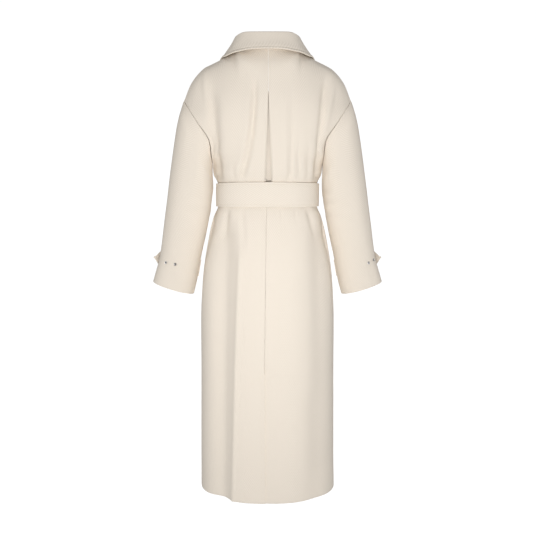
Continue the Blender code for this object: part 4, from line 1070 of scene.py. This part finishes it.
def sleeve_point(side, around, along, out=0.0):
    """A point of the sleeve's outer face, along from 0 at the armhole to CUFF."""
    index = min(CUFF - 1, int(along))
    rings = range(max(0, index - 1), min(CUFF, index + 2) + 1)
    point = curve_through([sleeve_ring(ring, around) for ring in rings], along - rings[0])
    middle = curve_through([(sleeve_ring(ring, 0.0) + sleeve_ring(ring, 0.5)) / 2 for ring in rings],
                           along - rings[0])
    depth = wave_at(SLEEVE_WAVE, point.x, point.y, point.z, side) * sizes().unevenness
    for fold in SLEEVE_FOLDS:
        if fold.side == side:
            turn = (around - fold.around + 0.5) % 1.0 - 0.5
            across = along - fold.along - fold.slant * turn * SLANT_RUN
            depth += fold.depth * math.exp(-(turn / fold.wide_around) ** 2 - (across / fold.wide_along) ** 2)
    seam = sizes().seam_dip * (1.0 - smooth(along / ARMHOLE_ROWS[-1]))
    point += (point - middle).normalized() * (out - depth * smooth(along) - seam)
    return Vector((side * point.x, point.y, point.z))


class COAT_OT_sleeves(bpy.types.Operator):
    """Build the sleeves from the armhole to the cuff"""
    bl_idname = "coat.sleeves"
    bl_label = "Sleeves"

    def execute(self, context):
        columns = sizes().sleeve_columns
        even = [SLEEVE_START + SLEEVE_SPAN * step / SLEEVE_ROWS for step in range(SLEEVE_ROWS + 1)]
        rows = [*ARMHOLE_ROWS, *even, *CUFF_ROWS]
        for side, hand in HANDS:
            points = [[sleeve_point(side, column % columns / columns, along) for column in range(columns + 1)]
                      for along in rows]
            piece = grid_piece(f"wool_sleeve_{hand}", points, sizes().cloth, flip=side == RIGHT, tube=True)
            finish_piece(piece, f"sleeve_{hand}")
        return {"FINISHED"}


class COAT_OT_tabs(bpy.types.Operator):
    """Build the cuff tabs, whose points stand out past the sleeves"""
    bl_idname = "coat.tabs"
    bl_label = "Cuff tabs"

    def execute(self, context):
        middle, half = 0.5 * sum(TAB_ROWS), 0.5 * (TAB_ROWS[1] - TAB_ROWS[0])
        for side, hand in HANDS:
            onward = sleeve_point(side, TAB_LEAVES - TURN_STEP, middle)
            onward -= sleeve_point(side, TAB_LEAVES + TURN_STEP, middle)
            points = []
            for row in range(TAB_ACROSS + 1):
                across = 2.0 * row / TAB_ACROSS - 1.0
                beside = (abs(across) - 1.0 + 2.0 * TAB_STITCH) / GROOVE_WIDTH
                groove = TAB_GROOVE * math.exp(-beside ** 2)
                line = []
                for column in range(TAB_LAID + TAB_LOOSE + 1):
                    past = TAB_FREE * max(0, column - TAB_LAID) / TAB_LOOSE
                    narrow = max(TAB_BLUNT, 1.0 - max(0.0, past - TAB_FREE + TAB_POINT) / TAB_POINT)
                    around = TAB_FROM + (TAB_LEAVES - TAB_FROM) * min(1.0, column / TAB_LAID)
                    start = sleeve_point(side, around, middle + half * across * narrow, LAY_GAP - groove)
                    line.append(start + onward.normalized() * past)
                points.append(line)
            piece = grid_piece(f"wool_tab_{hand}", points, sizes().double_cloth, flip=side == LEFT,
                               outside=True, grain="across")
            finish_piece(piece, f"cuff_tab_{hand}")
            low, high = TAB_STITCH * TAB_ACROSS, TAB_ACROSS - TAB_STITCH * TAB_ACROSS
            last = TAB_LAID + TAB_LOOSE - 2.0
            path = [(1.0, low), (last, low), (last, high), (1.0, high)]
            stitches = stitch_row(f"tab_stitching_{hand}", points, path, -side, lift=sizes().double_cloth)
        return {"FINISHED"}


class COAT_OT_eyelets(bpy.types.Operator):
    """Build the metal eyelets behind the cuff tabs, each with a dark disc of painted shade inside it"""
    bl_idname = "coat.eyelets"
    bl_label = "Eyelets"

    def execute(self, context):
        for side, hand in HANDS:
            for number, (around, along) in enumerate(EYELETS[side], start=1):
                base = sleeve_point(side, around, along)
                face = (sleeve_point(side, around, along, FACE_STEP) - base).normalized()
                turned = face.to_track_quat("Z", "Y").to_euler()
                ring_at = base + face * (EYELET_GAP + EYELET_WIRE * EYELET_FLAT)
                bpy.ops.mesh.primitive_torus_add(major_segments=40, minor_segments=16,
                                                 major_radius=EYELET_RING, minor_radius=EYELET_WIRE,
                                                 location=ring_at, rotation=turned)
                ring = context.object
                ring.scale.z = EYELET_FLAT
                ring.data.materials.append(plain("silver", colours().silver, SILVER_ROUGH, metallic=1.0))
                bpy.ops.object.transform_apply(location=True, rotation=True, scale=True)
                bpy.ops.object.shade_smooth()
                ring.name = f"metal_eyelet_{hand}_{number}"
                finish_piece(ring, f"eyelet_{hand}_{number}")
                # A dark disc inside the ring, where the sleeve has no hole: painted shade for the eyelet's
                # hole
                bpy.ops.mesh.primitive_cylinder_add(vertices=32, radius=EYELET_RING * SHADE_DISC_SHARE,
                                                    depth=SHADE_DISC_DEPTH, location=base + face * EYELET_GAP,
                                                    rotation=turned)
                painted_hole_shade = context.object
                painted_hole_shade.data.materials.append(plain("eyelet hole", colours().painted_hole_shade, MATT))
                bpy.ops.object.transform_apply(location=True, rotation=True, scale=True)
                painted_hole_shade.name = f"hole_of_eyelet_{hand}_{number}"
                finish_piece(painted_hole_shade, None)
        return {"FINISHED"}


def seen_brighter(tree, strength):
    """Give the white surroundings one brightness as light on the coat and another as background."""
    path = tree.nodes.new("ShaderNodeLightPath")
    gain = math_node(tree, "MULTIPLY_ADD", path.outputs["Is Camera Ray"], SEEN_WHITE - AMBIENT)
    gain.node.inputs[2].default_value = AMBIENT
    tree.links.new(gain, strength)


class COAT_OT_studio(bpy.types.Operator):
    """Set up the floor, backdrop, lights and camera"""
    bl_idname = "coat.studio"
    bl_label = "Studio"

    def execute(self, context):
        context.scene.view_settings.view_transform = "Standard"
        white = plain("studio white", FLOOR_GREY, MATT)
        shader = white.node_tree.nodes["Principled BSDF"]
        shader.inputs["Emission Color"].default_value = (*colours().studio, 1.0)
        seen_brighter(white.node_tree, shader.inputs["Emission Strength"])
        bpy.ops.mesh.primitive_plane_add(size=FLOOR_SIZE, location=(0.0, 0.0, FLOOR_Z))
        floor = context.object
        floor.name = "floor"
        floor.data.materials.append(white)
        world = context.scene.world or bpy.data.worlds.new("studio")
        context.scene.world = world
        world.use_nodes = True
        sky = world.node_tree.nodes["Background"]
        sky.inputs["Color"].default_value = (*colours().studio, 1.0)
        seen_brighter(world.node_tree, sky.inputs["Strength"])
        for row in LAMPS:
            place = Vector((row.x, row.y, row.z))
            bpy.ops.object.light_add(type="AREA", location=place)
            lamp = context.object
            lamp.name = row.name
            lamp.data.shape = "RECTANGLE"
            lamp.data.size = row.wide
            lamp.data.size_y = row.tall
            lamp.data.energy = row.power
            lamp.rotation_euler = (Vector((0.0, 0.0, row.aim)) - place).to_track_quat("-Z", "Y").to_euler()
        bpy.ops.object.camera_add(location=CAMERA_PLACE,
                                  rotation=(math.radians(90.0 - CAMERA_TILT), 0.0, math.radians(180.0)))
        camera = context.object
        camera.data.lens = CAMERA_LENS
        camera.data.sensor_width = CAMERA_FILM
        context.scene.camera = camera
        return {"FINISHED"}


class COAT_PT_panel(bpy.types.Panel):
    bl_label = "Trench coat"
    bl_idname = "COAT_PT_panel"
    bl_space_type = "VIEW_3D"
    bl_region_type = "UI"
    bl_category = "Coat"

    def draw(self, context):
        for operator in OPERATORS:
            self.layout.operator(operator.bl_idname)


OPERATORS = (COAT_OT_backs, COAT_OT_fronts, COAT_OT_lapels, COAT_OT_collar, COAT_OT_sleeves, COAT_OT_belt,
             COAT_OT_tabs, COAT_OT_eyelets, COAT_OT_studio)
CLASSES = (CoatSizes, CoatColours, *OPERATORS, COAT_PT_panel)


def register():
    for kind in CLASSES:
        bpy.utils.register_class(kind)
    bpy.types.Scene.coat_sizes = PointerProperty(type=CoatSizes)
    bpy.types.Scene.coat_colours = PointerProperty(type=CoatColours)


def unregister():
    del bpy.types.Scene.coat_colours
    del bpy.types.Scene.coat_sizes
    for kind in reversed(CLASSES):
        bpy.utils.unregister_class(kind)


def main():
    register()
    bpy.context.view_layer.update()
    bpy.ops.coat.backs()
    bpy.ops.coat.fronts()
    bpy.ops.coat.lapels()
    bpy.ops.coat.collar()
    bpy.ops.coat.sleeves()
    bpy.ops.coat.belt()
    bpy.ops.coat.tabs()
    bpy.ops.coat.eyelets()
    bpy.ops.coat.studio()


if __name__ == "__main__":
    main()
